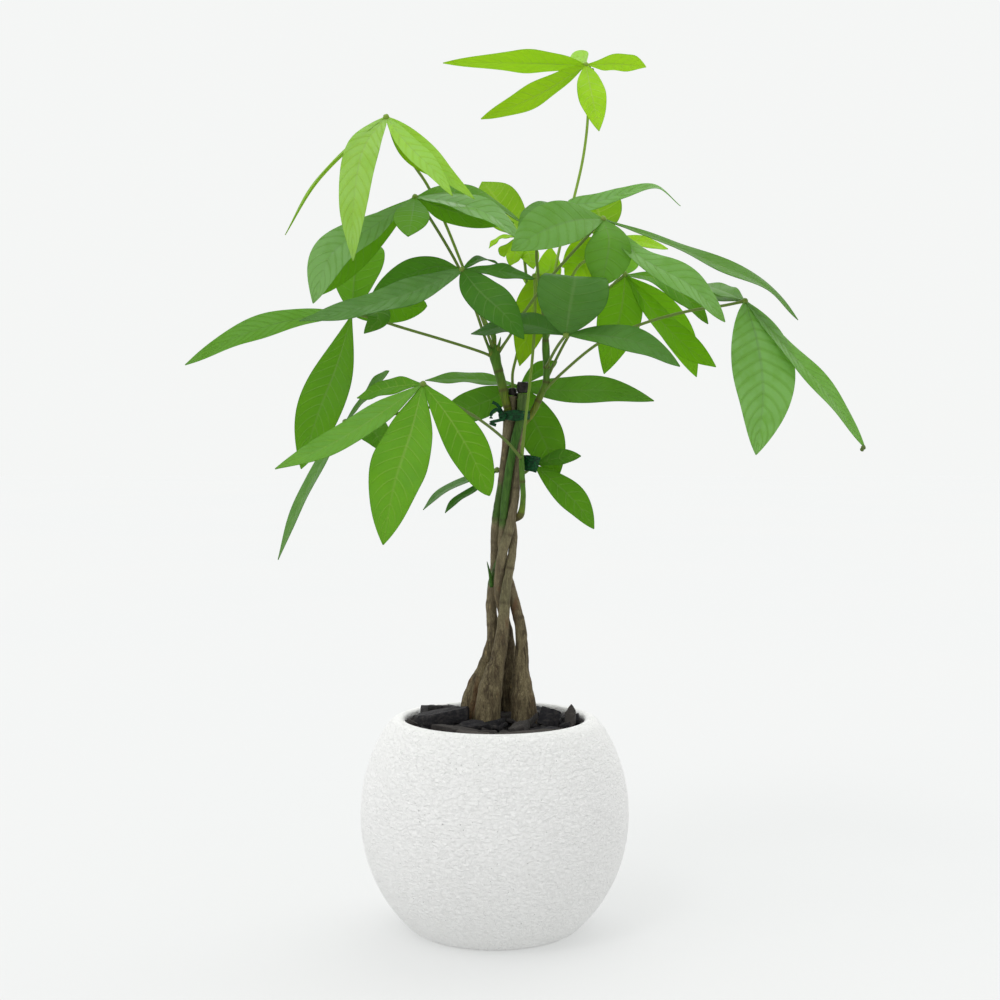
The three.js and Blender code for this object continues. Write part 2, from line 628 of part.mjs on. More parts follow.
    colour: LIME,
    stalk: [[17.2, 7, 423], [15.4, 13, 434], [14.7, 13, 450], [17.6, 14, 463.5], [20, 14, 474],
     [26.6, 20, 511], [22.5, 15, 564]],
    leaflets: [
      { via: [[13.5, 45, 577.2], [-1.4, 75, 597.8]], tip: [-10.4, 108, 608.5], width: 38,
       face: BACK, wave: 0.3, widest: 0.58 },
      { via: [[28, 6, 549.5]], tip: [32, -5, 537], width: 16, face: [0, -0.7, 0.7] },
      { via: [[12.6, 25, 556]], tip: [7.7, 35, 546.7], width: 22, face: [0, -0.4, 0.9] },
      { via: [[17, 5, 550]], tip: [12.6, -5, 539.3], width: 14, face: [0, -0.6, 0.8] },
      { via: [[4, 10, 562]], tip: [-4.7, 4, 554], width: 8, face: [-0.3, -0.5, 0.8] },
    ],
  },
  {
    name: 'leaf_lime_centre',
    colour: LIME,
    stalk: [[22.2, -16, 382], [25, -18, 409], [27.5, -18, 430], [29, -15, 443], [31.6, -8, 470],
     [33.2, -3, 503], [33.2, 4, 531]],
    leaflets: [
      { via: [[29.9, 7, 496.4]], tip: [20.5, 3, 456.9], width: 30, face: BACK, widest: 0.45 },
      { via: [[44.8, 32, 536]], tip: [46.4, 50, 554.9], width: 22, face: BACK, wave: 0.3 },
      { via: [[38, 45, 527]], tip: [42, 80, 515], width: 32, face: [0, 0.3, 0.95] },
    ],
  },
  {
    name: 'leaf_dark_centre',
    colour: DARK,
    stalk: [[42.5, -4, 456], [48, -34, 466.8], [53, -70, 475], [58.8, -105, 482.4]],
    leaflets: [
      { via: [[62.1, -118, 506.3], [66.2, -112, 529]], tip: [59.6, -58, 519.5], width: 54,
       face: FRONT, fold: 2, wave: 0, widest: 0.5, full: 0.75 },
      { via: [[89.3, -108, 481.6], [123, -110, 474.2]], tip: [152.7, -110, 456.5], width: 27,
       face: FRONT, lean: 42, wave: 0.6 },
      { via: [[20.9, -84, 491.1]], tip: [-19.5, -60, 483.3], width: 30, face: FRONT, lean: -52 },
    ],
  },
  {
    name: 'leaf_lime_right',
    colour: BRIGHT,
    stalk: [[42.5, -2, 446], [60.4, 4, 480.8], [78.5, 6, 507], [107.4, 12, 532]],
    leaflets: [
      { via: [[104.9, 2, 506.3], [98.3, -2, 479.1]], tip: [90.1, -2, 450.3], width: 37, face: BACK,
       wave: 0.5, widest: 0.42 },
      { via: [[128, 6, 504.7], [152.7, 10, 477.5]], tip: [182.3, 12, 456.1], width: 25, face: FRONT,
       lean: 25, wave: 2.4, waves: 3, widest: 0.6 },
      { via: [[132.9, 30, 508.8], [152.7, 42, 480]], tip: [166.3, 50, 447.8], width: 28, face: BACK,
       lean: -20, wave: 0.4 },
      { via: [[133.7, -6, 528.6], [159.3, -12, 511.3]], tip: [175.8, -14, 491.5], width: 23,
       face: FRONT, lean: 38, wave: 1.2 },
      { via: [[109, 50, 544.2]], tip: [109.8, 85, 558.2], width: 22, face: BACK, wave: 0.3 },
    ],
  },
  {
    name: 'leaf_far_right',
    colour: MIDDLE,
    stalk: [[41, -2, 437], [53.8, -6, 449.5], [86, -14, 475.8], [121.4, -22, 491.5],
     [159.3, -28, 502], [190.6, -32, 507], [206.2, -34, 510.4]],
    leaflets: [
      { via: [[216.9, -50, 474.2], [221.1, -60, 431.4]], tip: [215.3, -62, 383.6], width: 54,
       face: FRONT, lean: 15, wave: 0.4, widest: 0.48 },
      { via: [[239.2, -50, 472.5], [276.3, -60, 431.4]], tip: [305.1, -70, 389.3], width: 24,
       face: FRONT, lean: 45, wave: 1 },
      { via: [[187.3, -8, 518.7]], tip: [169.2, 22, 524.4], width: 22, face: FRONT, lean: -45 },
      { via: [[187.3, 10, 513.7]], tip: [166.7, 30, 513.7], width: 18, face: FRONT, lean: -45,
       wave: 0.3 },
    ],
  },
  {
    name: 'leaf_front_left',
    colour: BRIGHT,
    stalk: [[21.6, -17, 381], [11, -26, 393.5], [-12, -60, 412.4], [-36.8, -88, 427.2],
     [-59, -110, 442]],
    leaflets: [
      { via: [[-89.5, -114, 420.6], [-132.4, -124, 393.5]], tip: [-181, -132, 372], width: 26,
       face: FRONT, lean: -40, wave: 0.7, widest: 0.55 },
      { via: [[-68.9, -122, 402.5], [-82.1, -134, 361.3]], tip: [-92, -140, 309.4], width: 43,
       face: FRONT, lean: -10, wave: 1.7, waves: 6, widest: 0.55 },
      { via: [[-37.6, -122, 414.1], [-18.7, -126, 382.7]], tip: [-4.2, -122, 349.8], width: 31,
       face: FRONT, lean: 15, wave: 0.8, widest: 0.58, full: 0.7 },
      { via: [[-87, -88, 438.8]], tip: [-113.4, -70, 430.5], width: 21, face: FRONT, lean: -50 },
    ],
  },
  {
    name: 'leaf_behind_left',
    colour: MIDDLE,
    stalk: [[10.6, 9, 423.5], [8, 22, 426], [-12, 36, 427], [-45, 34, 424], [-90, 8, 416],
     [-123, -5, 411]],
    leaflets: [
      { via: [[-101, -22, 437]], tip: [-87, -38, 452.8], width: 22, face: [0.2, -0.6, 0.75] },
      { via: [[-139.8, 0, 381.9], [-161.2, 3, 341.6]], tip: [-178.5, 4, 297.1], width: 20,
       face: FRONT, lean: -58, wave: 0.4 },
      { via: [[-101, -25, 404]], tip: [-90, -35, 386], width: 24, face: [0, -0.8, 0.5] },
    ],
  },
  {
    name: 'leaf_behind_stems',
    colour: MIDDLE,
    stalk: [[23, 3, 424], [22.5, 12, 430], [20.9, 22, 440.4]],
    leaflets: [
      { via: [[-18.7, 28, 445.8]], tip: [-57.4, 30, 444.9], width: 26, face: FRONT, lean: -66 },
      { via: [[-12.1, 13, 425.6]], tip: [-46.7, 8, 414.1], width: 28, face: FRONT, lean: -15 },
      { via: [[30.8, 25, 415.7], [43.1, 22, 389.3]], tip: [51.4, 18, 363], width: 37, face: FRONT,
       lean: 10, wave: 0.5, widest: 0.5 },
      { via: [[55.5, 22, 436.7], [95, 18, 436.3]], tip: [131.3, 14, 428.1], width: 27, face: FRONT,
       lean: 30, wave: 0.6, widest: 0.48 },
      { via: [[37.4, 34, 453.6]], tip: [51.4, 40, 460.6], width: 16, face: FRONT, lean: 35,
       wave: 0.3 },
    ],
  },
  {
    name: 'leaf_low_right',
    colour: MIDDLE,
    stalk: [[17.5, 1, 366], [25, 8, 369], [32.4, 10, 375.3]],
    leaflets: [
      { via: [[49.7, 6, 360.5], [67.8, 2, 343.2]], tip: [81.8, 0, 322.6], width: 25, face: FRONT,
       lean: 25, wave: 0.5 },
      { via: [[53, 6, 381.1]], tip: [71.1, 4, 382.7], width: 16, face: FRONT, lean: 40, wave: 0.3 },
    ],
  },
  {
    name: 'leaf_low_left',
    colour: DARK,
    stalk: [[6, 2, 371], [4, 5, 371.4], [1.9, 7, 371.2]],
    leaflets: [
      { via: [[-20.3, 6, 363.8], [-44.2, 4, 352.3]], tip: [-59, 2, 338.3], width: 15, face: FRONT,
       lean: -68, wave: 0.3 },
      { via: [[-16.2, -2, 355.6], [-31.8, -6, 345.7]], tip: [-40.9, -10, 335.8], width: 13,
       face: FRONT, lean: -65, wave: 0.3 },
    ],
  },
];

function leafSolid({ stalk, leaflets }) {
  const points = stalk.map(seen);
  const radii = stalk.map((_, i) => STALK_RADIUS * (i === 0 ? 1.35 : 1));
  const hub = stalk[stalk.length - 1];
  const knob = seen(hub);
  const parts = [
    rod(points, radii, STALK_STEPS, 5),
    new THREE.IcosahedronGeometry(HUB_RADIUS, 0).translate(knob.x, knob.y, knob.z),
    ...leaflets.map((leaflet) => blade(hub, leaflet)),
  ];
  return joined(parts.map(solidOf));
}

// The assembly

const tree = new THREE.Group();

function addNode(name, solid, colour, roughness) {
  const material = new THREE.MeshStandardMaterial({ color: colour, roughness, metalness: 0 });
  const mesh = new THREE.Mesh(geometryOf(solid).translate(0, 0, -FLOOR_LEVEL), material);
  mesh.name = name;
  tree.add(mesh);
}

const stemNames = Object.keys(STEMS);
const grownStems = stemNames.map((name) => solidOf(woodRod(STEMS[name], GAP)));
const grownWood = joined([
  ...grownStems,
  ...Object.values(SHOOTS).map((places) => solidOf(woodRod(places, GAP))),
  ...BUD_SCALES.map((scale) => solidOf(budScale(scale, GAP))),
]);

addNode('pot', solidOf(potBody()), 0xe9e9e6, 0.85);
const soil = solidOf(fillBetween(POT_FLOOR + GAP, SOIL_TOP)).subtract(joined(grownStems));
addNode('soil', largestBody(soil), 0x2a221c, 1);
addNode('bark_mulch', largestBody(barkMulch().subtract(joined(grownStems))), 0x2f2f2f, 0.9);

stemNames.forEach((name, i) => {
  const earlier = grownStems.slice(0, i);
  const stem = joined([solidOf(woodRod(STEMS[name])), ...budsOn(name)]);
  const clear = earlier.length ? stem.subtract(joined(earlier)) : stem;
  addNode(name, largestBody(clear), 0x6f6450, 0.8);
});

Object.entries(SHOOTS).forEach(([name, places]) => {
  const shoot = joined([solidOf(woodRod(places)), ...budsOn(name)]);
  addNode(name, largestBody(shoot.subtract(joined(grownStems))), 0x4f7f2a, 0.6);
});

SEALS.forEach(([name, stem, height, radius]) => {
  addNode(name, solidOf(seal(STEMS[stem], height, radius)), 0x15130f, 0.5);
});

addNode('tie_top', largestBody(topTie().subtract(grownWood)), 0x0d4a25, 0.5);
addNode('tie_side', largestBody(solidOf(ribbon(SIDE_TIE, 13, 1.2)).subtract(grownWood)),
  0x0d4a25, 0.5);

LEAVES.forEach((leaf) => {
  addNode(leaf.name, largestBody(leafSolid(leaf).subtract(grownWood)), leaf.colour, 0.5);
});

export default tree;
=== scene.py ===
# Looks of a potted money tree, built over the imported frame. The frame is in metres with +Z up
# and the front towards -Y. Sizes here are in millimetres, and MM turns them into metres.

import math
from dataclasses import dataclass

import bpy
import numpy as np
from mathutils import Euler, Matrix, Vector, noise


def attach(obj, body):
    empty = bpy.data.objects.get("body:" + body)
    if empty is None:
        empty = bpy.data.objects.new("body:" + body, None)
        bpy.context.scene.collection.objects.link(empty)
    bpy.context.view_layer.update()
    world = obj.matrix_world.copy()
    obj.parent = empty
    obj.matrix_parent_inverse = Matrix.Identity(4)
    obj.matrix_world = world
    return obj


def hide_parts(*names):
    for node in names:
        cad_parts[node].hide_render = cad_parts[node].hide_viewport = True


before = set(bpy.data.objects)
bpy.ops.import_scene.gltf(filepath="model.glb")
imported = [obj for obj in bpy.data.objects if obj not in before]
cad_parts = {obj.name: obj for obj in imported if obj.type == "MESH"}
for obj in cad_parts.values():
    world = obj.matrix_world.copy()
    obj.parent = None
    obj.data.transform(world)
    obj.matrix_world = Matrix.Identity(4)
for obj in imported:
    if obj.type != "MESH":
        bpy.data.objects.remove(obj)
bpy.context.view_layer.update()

MM = 0.001

# Height of the underside of the pot in the heights below. The meshes are raised by as much, so
# that they stand on z = 0.
FLOOR_LEVEL = -4

# Pot, as in the part
POT_RADIUS = 110
POT_BELLY_HEIGHT = 90
POT_UPPER_REACH = 121
POT_LOWER_REACH = 118
POT_WALL = 9
POT_FLOOR = 14
POT_LIP_HEIGHT = 168
POT_OPENING_RADIUS = 74
POT_FOOT_ROUND = 2.5
MOUTH_HEIGHT = POT_LIP_HEIGHT - 5
POT_TURNS = 330
WRINKLE_HEIGHT = 0.32
MOUTH_FADE = 14
FOOT_FADE = 12

# Fill of the pot
BARK_BED_TOP = 158
MULCH_REACH = POT_OPENING_RADIUS - 1.2
MOUND_HEIGHT = 6
CHIP_SEED = 11
CHIP_SIDES = 6

# Leaves
BLADE_STATIONS = 40
BLADE_SKIN = 0.22
RIB_DEPTH = 0.9
BLADE_BASE_HALF = 1.2
BLADE_TIP_HALF = 0.35
VEIN_SPACING = 9
VEIN_SLANT = 0.13
STALK_RADIUS = 1.2
STALK_RINGS = 48
STALK_SIDES = 12
HUB_RADIUS = 2.5

# Wood
STEM_RINGS = 170
STEM_SIDES = 30
STEM_FOOT = 122
SHOOT_RINGS = 70
SHOOT_SIDES = 18
RING_REACH = 1.4
SHOOT_RING_REACH = 1.2
SEAL_GAP = 0.3
SEAL_SIDES = 22

# The part gives places in the crown and the braid as they are seen from the front
EYE_DISTANCE = 1300
EYE_HEIGHT = 400

# The photograph's lens, and how far its middle lies from the eye's own axis, as shares of its width
SENSOR_WIDTH = 36
LENS = 56.8
FRAME_SHIFT = (0.0053, -0.065)

FLOOR_REACH = 14.0

# Soft light from far away: its power, how wide it spreads, its height over the floor, and its way
# round from +X. All but the power are in degrees.
SUNS = {
    "key": (0.6, 50, 52, 222),
    "glint": (0.3, 14, 48, 236),
    "rim": (0.6, 60, 55, 60),
}


def seen(place):
    """The point, in the part's own frame, that the eye sees at a place."""
    x, y, z = place[:3]
    grown = 1 + y / EYE_DISTANCE
    return np.array([x * grown, y, EYE_HEIGHT + (z - EYE_HEIGHT) * grown])


def unit(vectors):
    return vectors / np.linalg.norm(vectors, axis=-1, keepdims=True)


def grain(point, size, stretch=1.0, seed=0.0):
    """Smooth noise from -1 to 1, whose patches measure size, and size x stretch upwards."""
    x, y, z = point
    return noise.noise(Vector((x / size + seed, y / size, z / (size * stretch))))


def random_from(seed):
    """Numbers from 0 to 1 that are the same each run."""
    state = seed
    while True:
        state = (state * 1664525 + 1013904223) % 4294967296
        yield state / 4294967296


def add_object(name, data):
    made = bpy.data.objects.new(name, data)
    bpy.context.scene.collection.objects.link(made)
    return made


# Meshes


class Skin:
    """Vertices in millimetres, faces, and what the materials read, for one piece.

    place is how far along a point lies, from 0 to 1, and on a blade also how far across, from -1
    to 1, and the count of veins up to it. cast is how fresh, whether underneath and how glossy on
    a leaf, which also sets its painted sheen, how green, how near a ring and how dark on wood, and
    how brown on a chip.
    """

    def __init__(self):
        self.points = []
        self.faces = []
        self.slots = []
        self.place = []
        self.cast = []

    def add(self, points, faces, slot=0, place=None, cast=(0, 0, 0)):
        start = len(self.points)
        points = np.asarray(points, float).reshape(-1, 3)
        self.points.extend(points)
        self.faces.extend([tuple(start + i for i in face) for face in faces])
        self.slots.extend([slot] * len(faces))
        places = np.zeros((len(points), 3)) if place is None else np.asarray(place).reshape(-1, 3)
        self.place.extend(places)
        self.cast.extend(np.broadcast_to(np.asarray(cast, float), (len(points), 3)))

    def build(self, name, materials, smooth=True):
        mesh = bpy.data.meshes.new(name)
        points = (np.array(self.points) - (0, 0, FLOOR_LEVEL)) * MM
        mesh.from_pydata(points.tolist(), [], self.faces)
        for material in materials:
            mesh.materials.append(material)
        mesh.polygons.foreach_set("material_index", self.slots)
        mesh.polygons.foreach_set("use_smooth", [smooth] * len(self.faces))
        for key, values in (("place", self.place), ("cast", self.cast)):
            layer = mesh.attributes.new(key, "FLOAT_VECTOR", "POINT")
            layer.data.foreach_set("vector", np.array(values, np.float32).ravel())
        mesh.update()
        return add_object(name, mesh)


def dress(node, skin, materials, slot, smooth=True):
    """Makes the piece that stands for the CAD node."""
    piece = skin.build("fine_" + node, materials, smooth)
    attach(piece, "root")
    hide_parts(node)
    return piece


def grid_faces(rows, columns, wrap=False, flip=False):
    """Quads over a grid of points, with the last column joined to the first if wrap is true."""
    faces = []
    for i in range(rows - 1):
        for j in range(columns if wrap else columns - 1):
            k = (j + 1) % columns
            quad = (i * columns + j, i * columns + k, (i + 1) * columns + k, (i + 1) * columns + j)
            faces.append(quad[::-1] if flip else quad)
    return faces


def curve_through(points):
    """Centripetal Catmull-Rom curve, as a function from 0 to 1."""
    points = [np.asarray(p, float) for p in points]
    points = [2 * points[0] - points[1], *points, 2 * points[-1] - points[-2]]

    def at(t):
        spans = len(points) - 3
        span = min(int(t * spans), spans - 1)
        w = t * spans - span
        p0, p1, p2, p3 = points[span:span + 4]
        d0, d1, d2 = (
            math.sqrt(np.linalg.norm(b - a)) for a, b in ((p0, p1), (p1, p2), (p2, p3))
        )
        m1 = ((p1 - p0) / d0 - (p2 - p0) / (d0 + d1) + (p2 - p1) / d1) * d1
        m2 = ((p2 - p1) / d1 - (p3 - p1) / (d1 + d2) + (p3 - p2) / d2) * d1
        return (
            p1 + w * m1 + w ** 2 * (3 * (p2 - p1) - 2 * m1 - m2) + w ** 3 * (2 * (p1 - p2) + m1 + m2)
        )

    return at


def curve_seen(places):
    return curve_through([seen(place) for place in places])


def tube(path, radius, rings, sides):
    """Middles of the rings round a path, the way out to each point, the radii and the ways along."""
    ts = np.linspace(0, 1, rings)
    centres = np.array([path(t) for t in ts])
    along = unit(np.gradient(centres, axis=0))
    chord = centres[-1] - centres[0]
    lies_deep = abs(chord[1]) > 0.7 * np.linalg.norm(chord)
    start = np.array([1.0, 0, 0]) if lies_deep else np.array([0, 1.0, 0])
    u = unit(start - (along @ start)[:, None] * along)
    v = np.cross(along, u)
    turns = 2 * np.pi * np.arange(sides) / sides
    out = np.cos(turns)[None, :, None] * u[:, None] + np.sin(turns)[None, :, None] * v[:, None]
    radii = np.array([radius(t) for t in ts])
    return centres, out, radii, ts


def add_tube(skin, path, radius, rings, sides, cast, slot=0, rough=None):
    """Closed tube. cast(t) gives what the material reads, rough(point, t) lifts the surface."""
    centres, out, radii, ts = tube(path, radius, rings, sides)
    points = centres[:, None] + out * radii[:, None, None]
    if rough:
        for i in range(rings):
            for j in range(sides):
                points[i, j] += out[i, j] * rough(points[i, j], ts[i])
    place = np.zeros((rings, sides, 3))
    place[..., 0] = ts[:, None]
    casts = np.zeros((rings, sides, 3))
    casts[:] = np.array([cast(t) for t in ts])[:, None]
    faces = grid_faces(rings, sides, wrap=True)
    last = (rings - 1) * sides
    first_tip, last_tip = rings * sides, rings * sides + 1
    for j in range(sides):
        k = (j + 1) % sides
        faces.append((first_tip, k, j))
        faces.append((last_tip, last + j, last + k))
    skin.add(
        np.vstack([points.reshape(-1, 3), centres[0], centres[-1]]), faces, slot,
        np.vstack([place.reshape(-1, 3), place[0, 0], place[-1, 0]]),
        np.vstack([casts.reshape(-1, 3), casts[0, 0], casts[-1, 0]]),
    )


def add_ball(skin, centre, radius, slot=0, cast=(0, 0, 0), rough=0.0, stretch=(1, 1, 1)):
    """Lumpy ball of 14 by 10 faces."""
    rows, columns = 11, 14
    polar = np.linspace(0.001, math.pi - 0.001, rows)[:, None]
    turn = (2 * np.pi * np.arange(columns) / columns)[None]
    out = np.stack([
        np.sin(polar) * np.cos(turn), np.sin(polar) * np.sin(turn), np.cos(polar) + 0 * turn,
    ], -1)
    points = np.asarray(centre) + out * radius * np.asarray(stretch)
    if rough:
        for i in range(rows):
            for j in range(columns):
                points[i, j] += out[i, j] * rough * grain(points[i, j], radius)
    faces = grid_faces(rows, columns, wrap=True, flip=True)
    faces.append(tuple(range(columns)))
    faces.append(tuple((rows - 1) * columns + j for j in reversed(range(columns))))
    skin.add(points, faces, slot, np.tile((1.0, 0.0, 0.0), (rows * columns, 1)), cast)


# Materials


class Shade:
    """Builds the nodes of one material, or of the world."""

    def __init__(self, name, owners=bpy.data.materials):
        self.owner = owners.new(name)
        self.owner.use_nodes = True
        self.tree = self.owner.node_tree
        self.tree.nodes.clear()
        self.way = self.node("ShaderNodeTexCoord").outputs
        self.spot = self.way["Object"]

    def node(self, kind, inputs=None, **settings):
        made = self.tree.nodes.new(kind)
        for key, value in settings.items():
            setattr(made, key, value)
        for key, value in (inputs or {}).items():
            self.feed(made.inputs[key], value)
        return made

    def feed(self, socket, value):
        if isinstance(value, bpy.types.NodeSocket):
            self.tree.links.new(value, socket)
        elif isinstance(value, tuple) and socket.type == "RGBA":
            socket.default_value = (*value, 1)
        else:
            socket.default_value = value

    def parts(self, vector):
        return tuple(self.node("ShaderNodeSeparateXYZ", {0: vector}).outputs)

    def attribute(self, name):
        return self.parts(self.node("ShaderNodeAttribute", attribute_name=name).outputs["Vector"])

    def stretched(self, *scale):
        """Object coordinates times a scale for each axis."""
        return self.node("ShaderNodeMapping", {"Vector": self.spot, "Scale": scale}).outputs[0]

    def noise(self, scale, detail, roughness, vector=None, distortion=0.0):
        return self.node("ShaderNodeTexNoise", {
            "Vector": vector or self.spot, "Scale": scale, "Detail": detail,
            "Roughness": roughness, "Distortion": distortion,
        }).outputs["Fac"]

    def cells(self, scale, vector=None, feature="F1"):
        inputs = {"Vector": vector or self.spot, "Scale": scale}
        return self.node("ShaderNodeTexVoronoi", inputs, feature=feature).outputs["Distance"]

    def ramp(self, value, low, high, start=0.0, end=1.0):
        """Runs smoothly from start to end while value runs from low to high."""
        return self.node("ShaderNodeMapRange", {
            "Value": value, "From Min": low, "From Max": high, "To Min": start, "To Max": end,
        }, interpolation_type="SMOOTHSTEP").outputs[0]

    def maths(self, operation, a, b=0.0, c=0.0, clamp=False):
        inputs = {0: a, 1: b, 2: c}
        return self.node("ShaderNodeMath", inputs, operation=operation, use_clamp=clamp).outputs[0]

    def times(self, a, b):
        return self.maths("MULTIPLY", a, b)

    def mix(self, share, a, b):
        return self.node("ShaderNodeMix", {0: share, 6: a, 7: b}, data_type="RGBA").outputs[2]

    def cover(self, colour, value, low, high, most, other):
        """Lays other over colour, from nothing up to a share of most, as value runs low to high."""
        return self.mix(self.ramp(value, low, high, 0.0, most), colour, other)

    def bump(self, height, distance, strength, normal=None):
        inputs = {"Height": height, "Distance": distance, "Strength": strength}
        if normal is not None:
            inputs["Normal"] = normal
        return self.node("ShaderNodeBump", inputs).outputs[0]

    def principled(self, colour, roughness, normal=None, specular=0.5):
        inputs = {"Base Color": colour, "Roughness": roughness, "Specular IOR Level": specular}
        if normal is not None:
            inputs["Normal"] = normal
        return self.node("ShaderNodeBsdfPrincipled", inputs).outputs[0]

    def finish(self, surface, output="ShaderNodeOutputMaterial"):
        self.node(output, {"Surface": surface})
        return self.owner


# Colours of a leaf: when dull, when fresh, of the light that comes through it, and of its veins
LEAF_COLOURS = {
    "leaf_lime": ((0.19, 0.46, 0.012), (0.36, 0.64, 0.02), (0.72, 0.95, 0.003), (0.48, 0.68, 0.12)),
    "leaf_bright": ((0.10, 0.32, 0.018), (0.16, 0.42, 0.012), (0.55, 0.85, 0.002), (0.30, 0.52, 0.08)),
    "leaf_green": ((0.08, 0.25, 0.026), (0.12, 0.32, 0.014), (0.42, 0.72, 0.002), (0.22, 0.42, 0.08)),
    "leaf_dark": ((0.045, 0.17, 0.022), (0.09, 0.26, 0.02), (0.24, 0.52, 0.002), (0.16, 0.33, 0.07)),
}
# Painted sheen, the pale colour laid on glossy upper sides, and the share of the light that comes through
# a blade
PAINTED_SHEEN_COLOUR = (0.17, 0.26, 0.14)
TRANSLUCENCE = 0.42


def dimmed(colour, share):
    return tuple(share * part for part in colour)


def leaf_material(name):
    """Leaf: veins and a midrib, a dark edge, a paler underside, and a painted sheen, paler between the
    veins, on glossy blades.
    """
    dull, fresh, through, rib = LEAF_COLOURS[name]
    shade = Shade(name)
    along, across, vein = shade.attribute("place")
    freshness, under, gloss_and_sheen = shade.attribute("cast")
    reach = shade.maths("ABSOLUTE", across)
    mottle = shade.ramp(shade.noise(45, 4, 0.6), 0.3, 0.7, -0.22, 0.22)
    colour = shade.mix(shade.maths("ADD", freshness, mottle, clamp=True), dull, fresh)
    flow = shade.maths("PINGPONG", vein, 0.5)
    vein_line = shade.ramp(flow, 0.10, 0.0, 0.0, 0.55)
    vein_line = shade.times(vein_line, shade.ramp(reach, 1.0, 0.55))
    colour = shade.mix(vein_line, colour, rib)
    rib_line = shade.ramp(reach, 0.075, 0.02, 0.0, 0.8)
    rib_line = shade.times(rib_line, shade.ramp(along, 1.05, 0.1, 0.25, 1.0))
    colour = shade.mix(rib_line, colour, rib)
    edge = shade.ramp(reach, 0.955, 0.99, 0.0, 0.55)
    colour = shade.mix(edge, colour, dimmed(dull, 0.35))
    paler = tuple(0.9 * part + 0.004 for part in fresh)
    colour = shade.mix(shade.times(under, 0.35), colour, paler)
    # painted sheen: glossy blades are coloured paler, most between the veins, in place of highlights
    painted_sheen_share = shade.times(gloss_and_sheen, shade.ramp(flow, 0.0, 0.3, 0.30, 0.5))
    painted_sheen_share = shade.times(painted_sheen_share, shade.ramp(shade.noise(60, 3, 0.6), 0.3, 0.6, 0.7, 1.2))
    colour = shade.mix(painted_sheen_share, colour, tuple(0.6 * a + 1.2 * b for a, b in zip(fresh, PAINTED_SHEEN_COLOUR)))
    glow = shade.mix(freshness, dimmed(through, 0.55), through)
    glow = shade.mix(shade.times(vein_line, 0.5), glow, dimmed(through, 0.6))
    glow = shade.mix(shade.times(rib_line, 0.7), glow, dimmed(through, 0.45))
    sheen = shade.ramp(shade.noise(90, 3, 0.6), 0.25, 0.75, 0.36, 0.52)
    sheen = shade.maths("ADD", sheen, shade.times(under, 0.30))
    roughness = shade.maths("SUBTRACT", sheen, shade.times(gloss_and_sheen, 0.16))
    net = shade.cells(620, feature="DISTANCE_TO_EDGE")
    normal = shade.bump(shade.ramp(net, 0.0, 0.25), 0.00003, 0.2)
    ridge = shade.ramp(flow, 0.14, 0.0)
    normal = shade.bump(ridge, 0.00025, 0.7, normal)
    face = shade.principled(colour, roughness, normal, specular=0.13)
    lit_through = shade.node("ShaderNodeBsdfTranslucent", {"Color": glow, "Normal": normal}).outputs[0]
    both = shade.node("ShaderNodeMixShader", {0: TRANSLUCENCE, 1: face, 2: lit_through})
    return shade.finish(both.outputs[0])


def stalk_material():
    """Leaf stalks: green, browner and duller near the wood."""
    shade = Shade("stalk")
    along, _, _ = shade.attribute("place")
    freshness, _, _ = shade.attribute("cast")
    streak = shade.noise(1, 3, 0.6, shade.stretched(700, 700, 120))
    green = shade.mix(freshness, (0.085, 0.14, 0.026), (0.24, 0.40, 0.04))
    colour = shade.mix(shade.ramp(along, 0.0, 0.35, 0.35, 0.0), green, (0.10, 0.16, 0.03))
    colour = shade.cover(colour, streak, 0.35, 0.7, 0.25, (0.13, 0.10, 0.04))
    normal = shade.bump(streak, 0.0002, 0.4)
    return shade.finish(shade.principled(colour, 0.5, normal, specular=0.25))


def bark_material():
    """Bark: streaked along the stem, with reddish patches, pale scars, rings and green skin."""
    shade = Shade("bark")
    along, _, _ = shade.attribute("place")
    green, ring, dark = shade.attribute("cast")
    broad = shade.noise(1, 4, 0.6, shade.stretched(110, 110, 38))
    streak = shade.noise(1, 5, 0.65, shade.stretched(520, 520, 95), 0.6)
    fine = shade.noise(1, 3, 0.6, shade.stretched(1500, 1500, 520))
    colour = shade.mix(shade.ramp(broad, 0.38, 0.62), (0.055, 0.038, 0.02), (0.165, 0.135, 0.072))
    colour = shade.cover(colour, streak, 0.42, 0.66, 0.8, (0.27, 0.225, 0.125))
    colour = shade.cover(colour, streak, 0.42, 0.25, 0.75, (0.035, 0.025, 0.015))
    rust = shade.noise(1, 3, 0.5, shade.stretched(75, 75, 22), 0.8)
    colour = shade.cover(colour, rust, 0.56, 0.72, 0.65, (0.15, 0.058, 0.02))
    scars = shade.cells(1, vector=shade.stretched(150, 150, 62))
    colour = shade.cover(colour, scars, 0.17, 0.08, 0.75, (0.36, 0.27, 0.13))
    colour = shade.cover(colour, fine, 0.35, 0.65, 0.55, (0.035, 0.026, 0.016))
    colour = shade.cover(colour, along, 0.28, 0.5, 0.3, (0.30, 0.25, 0.16))
    skin = shade.mix(shade.ramp(streak, 0.3, 0.7), (0.025, 0.085, 0.008), (0.06, 0.16, 0.018))
    colour = shade.mix(green, colour, skin)
    worn = shade.ramp(broad, 0.35, 0.65, 0.15, 0.7)
    colour = shade.mix(shade.times(ring, worn), colour, (0.03, 0.016, 0.01))
    colour = shade.mix(shade.times(dark, 0.8), colour, (0.012, 0.014, 0.008))
    rough = shade.times(streak, shade.maths("SUBTRACT", 1.0, green))
    normal = shade.bump(rough, 0.0011, 0.8)
    normal = shade.bump(fine, 0.0006, 0.6, normal)
    roughness = shade.maths("SUBTRACT", 0.78, shade.times(green, 0.28))
    return shade.finish(shade.principled(colour, roughness, normal, specular=0.2))


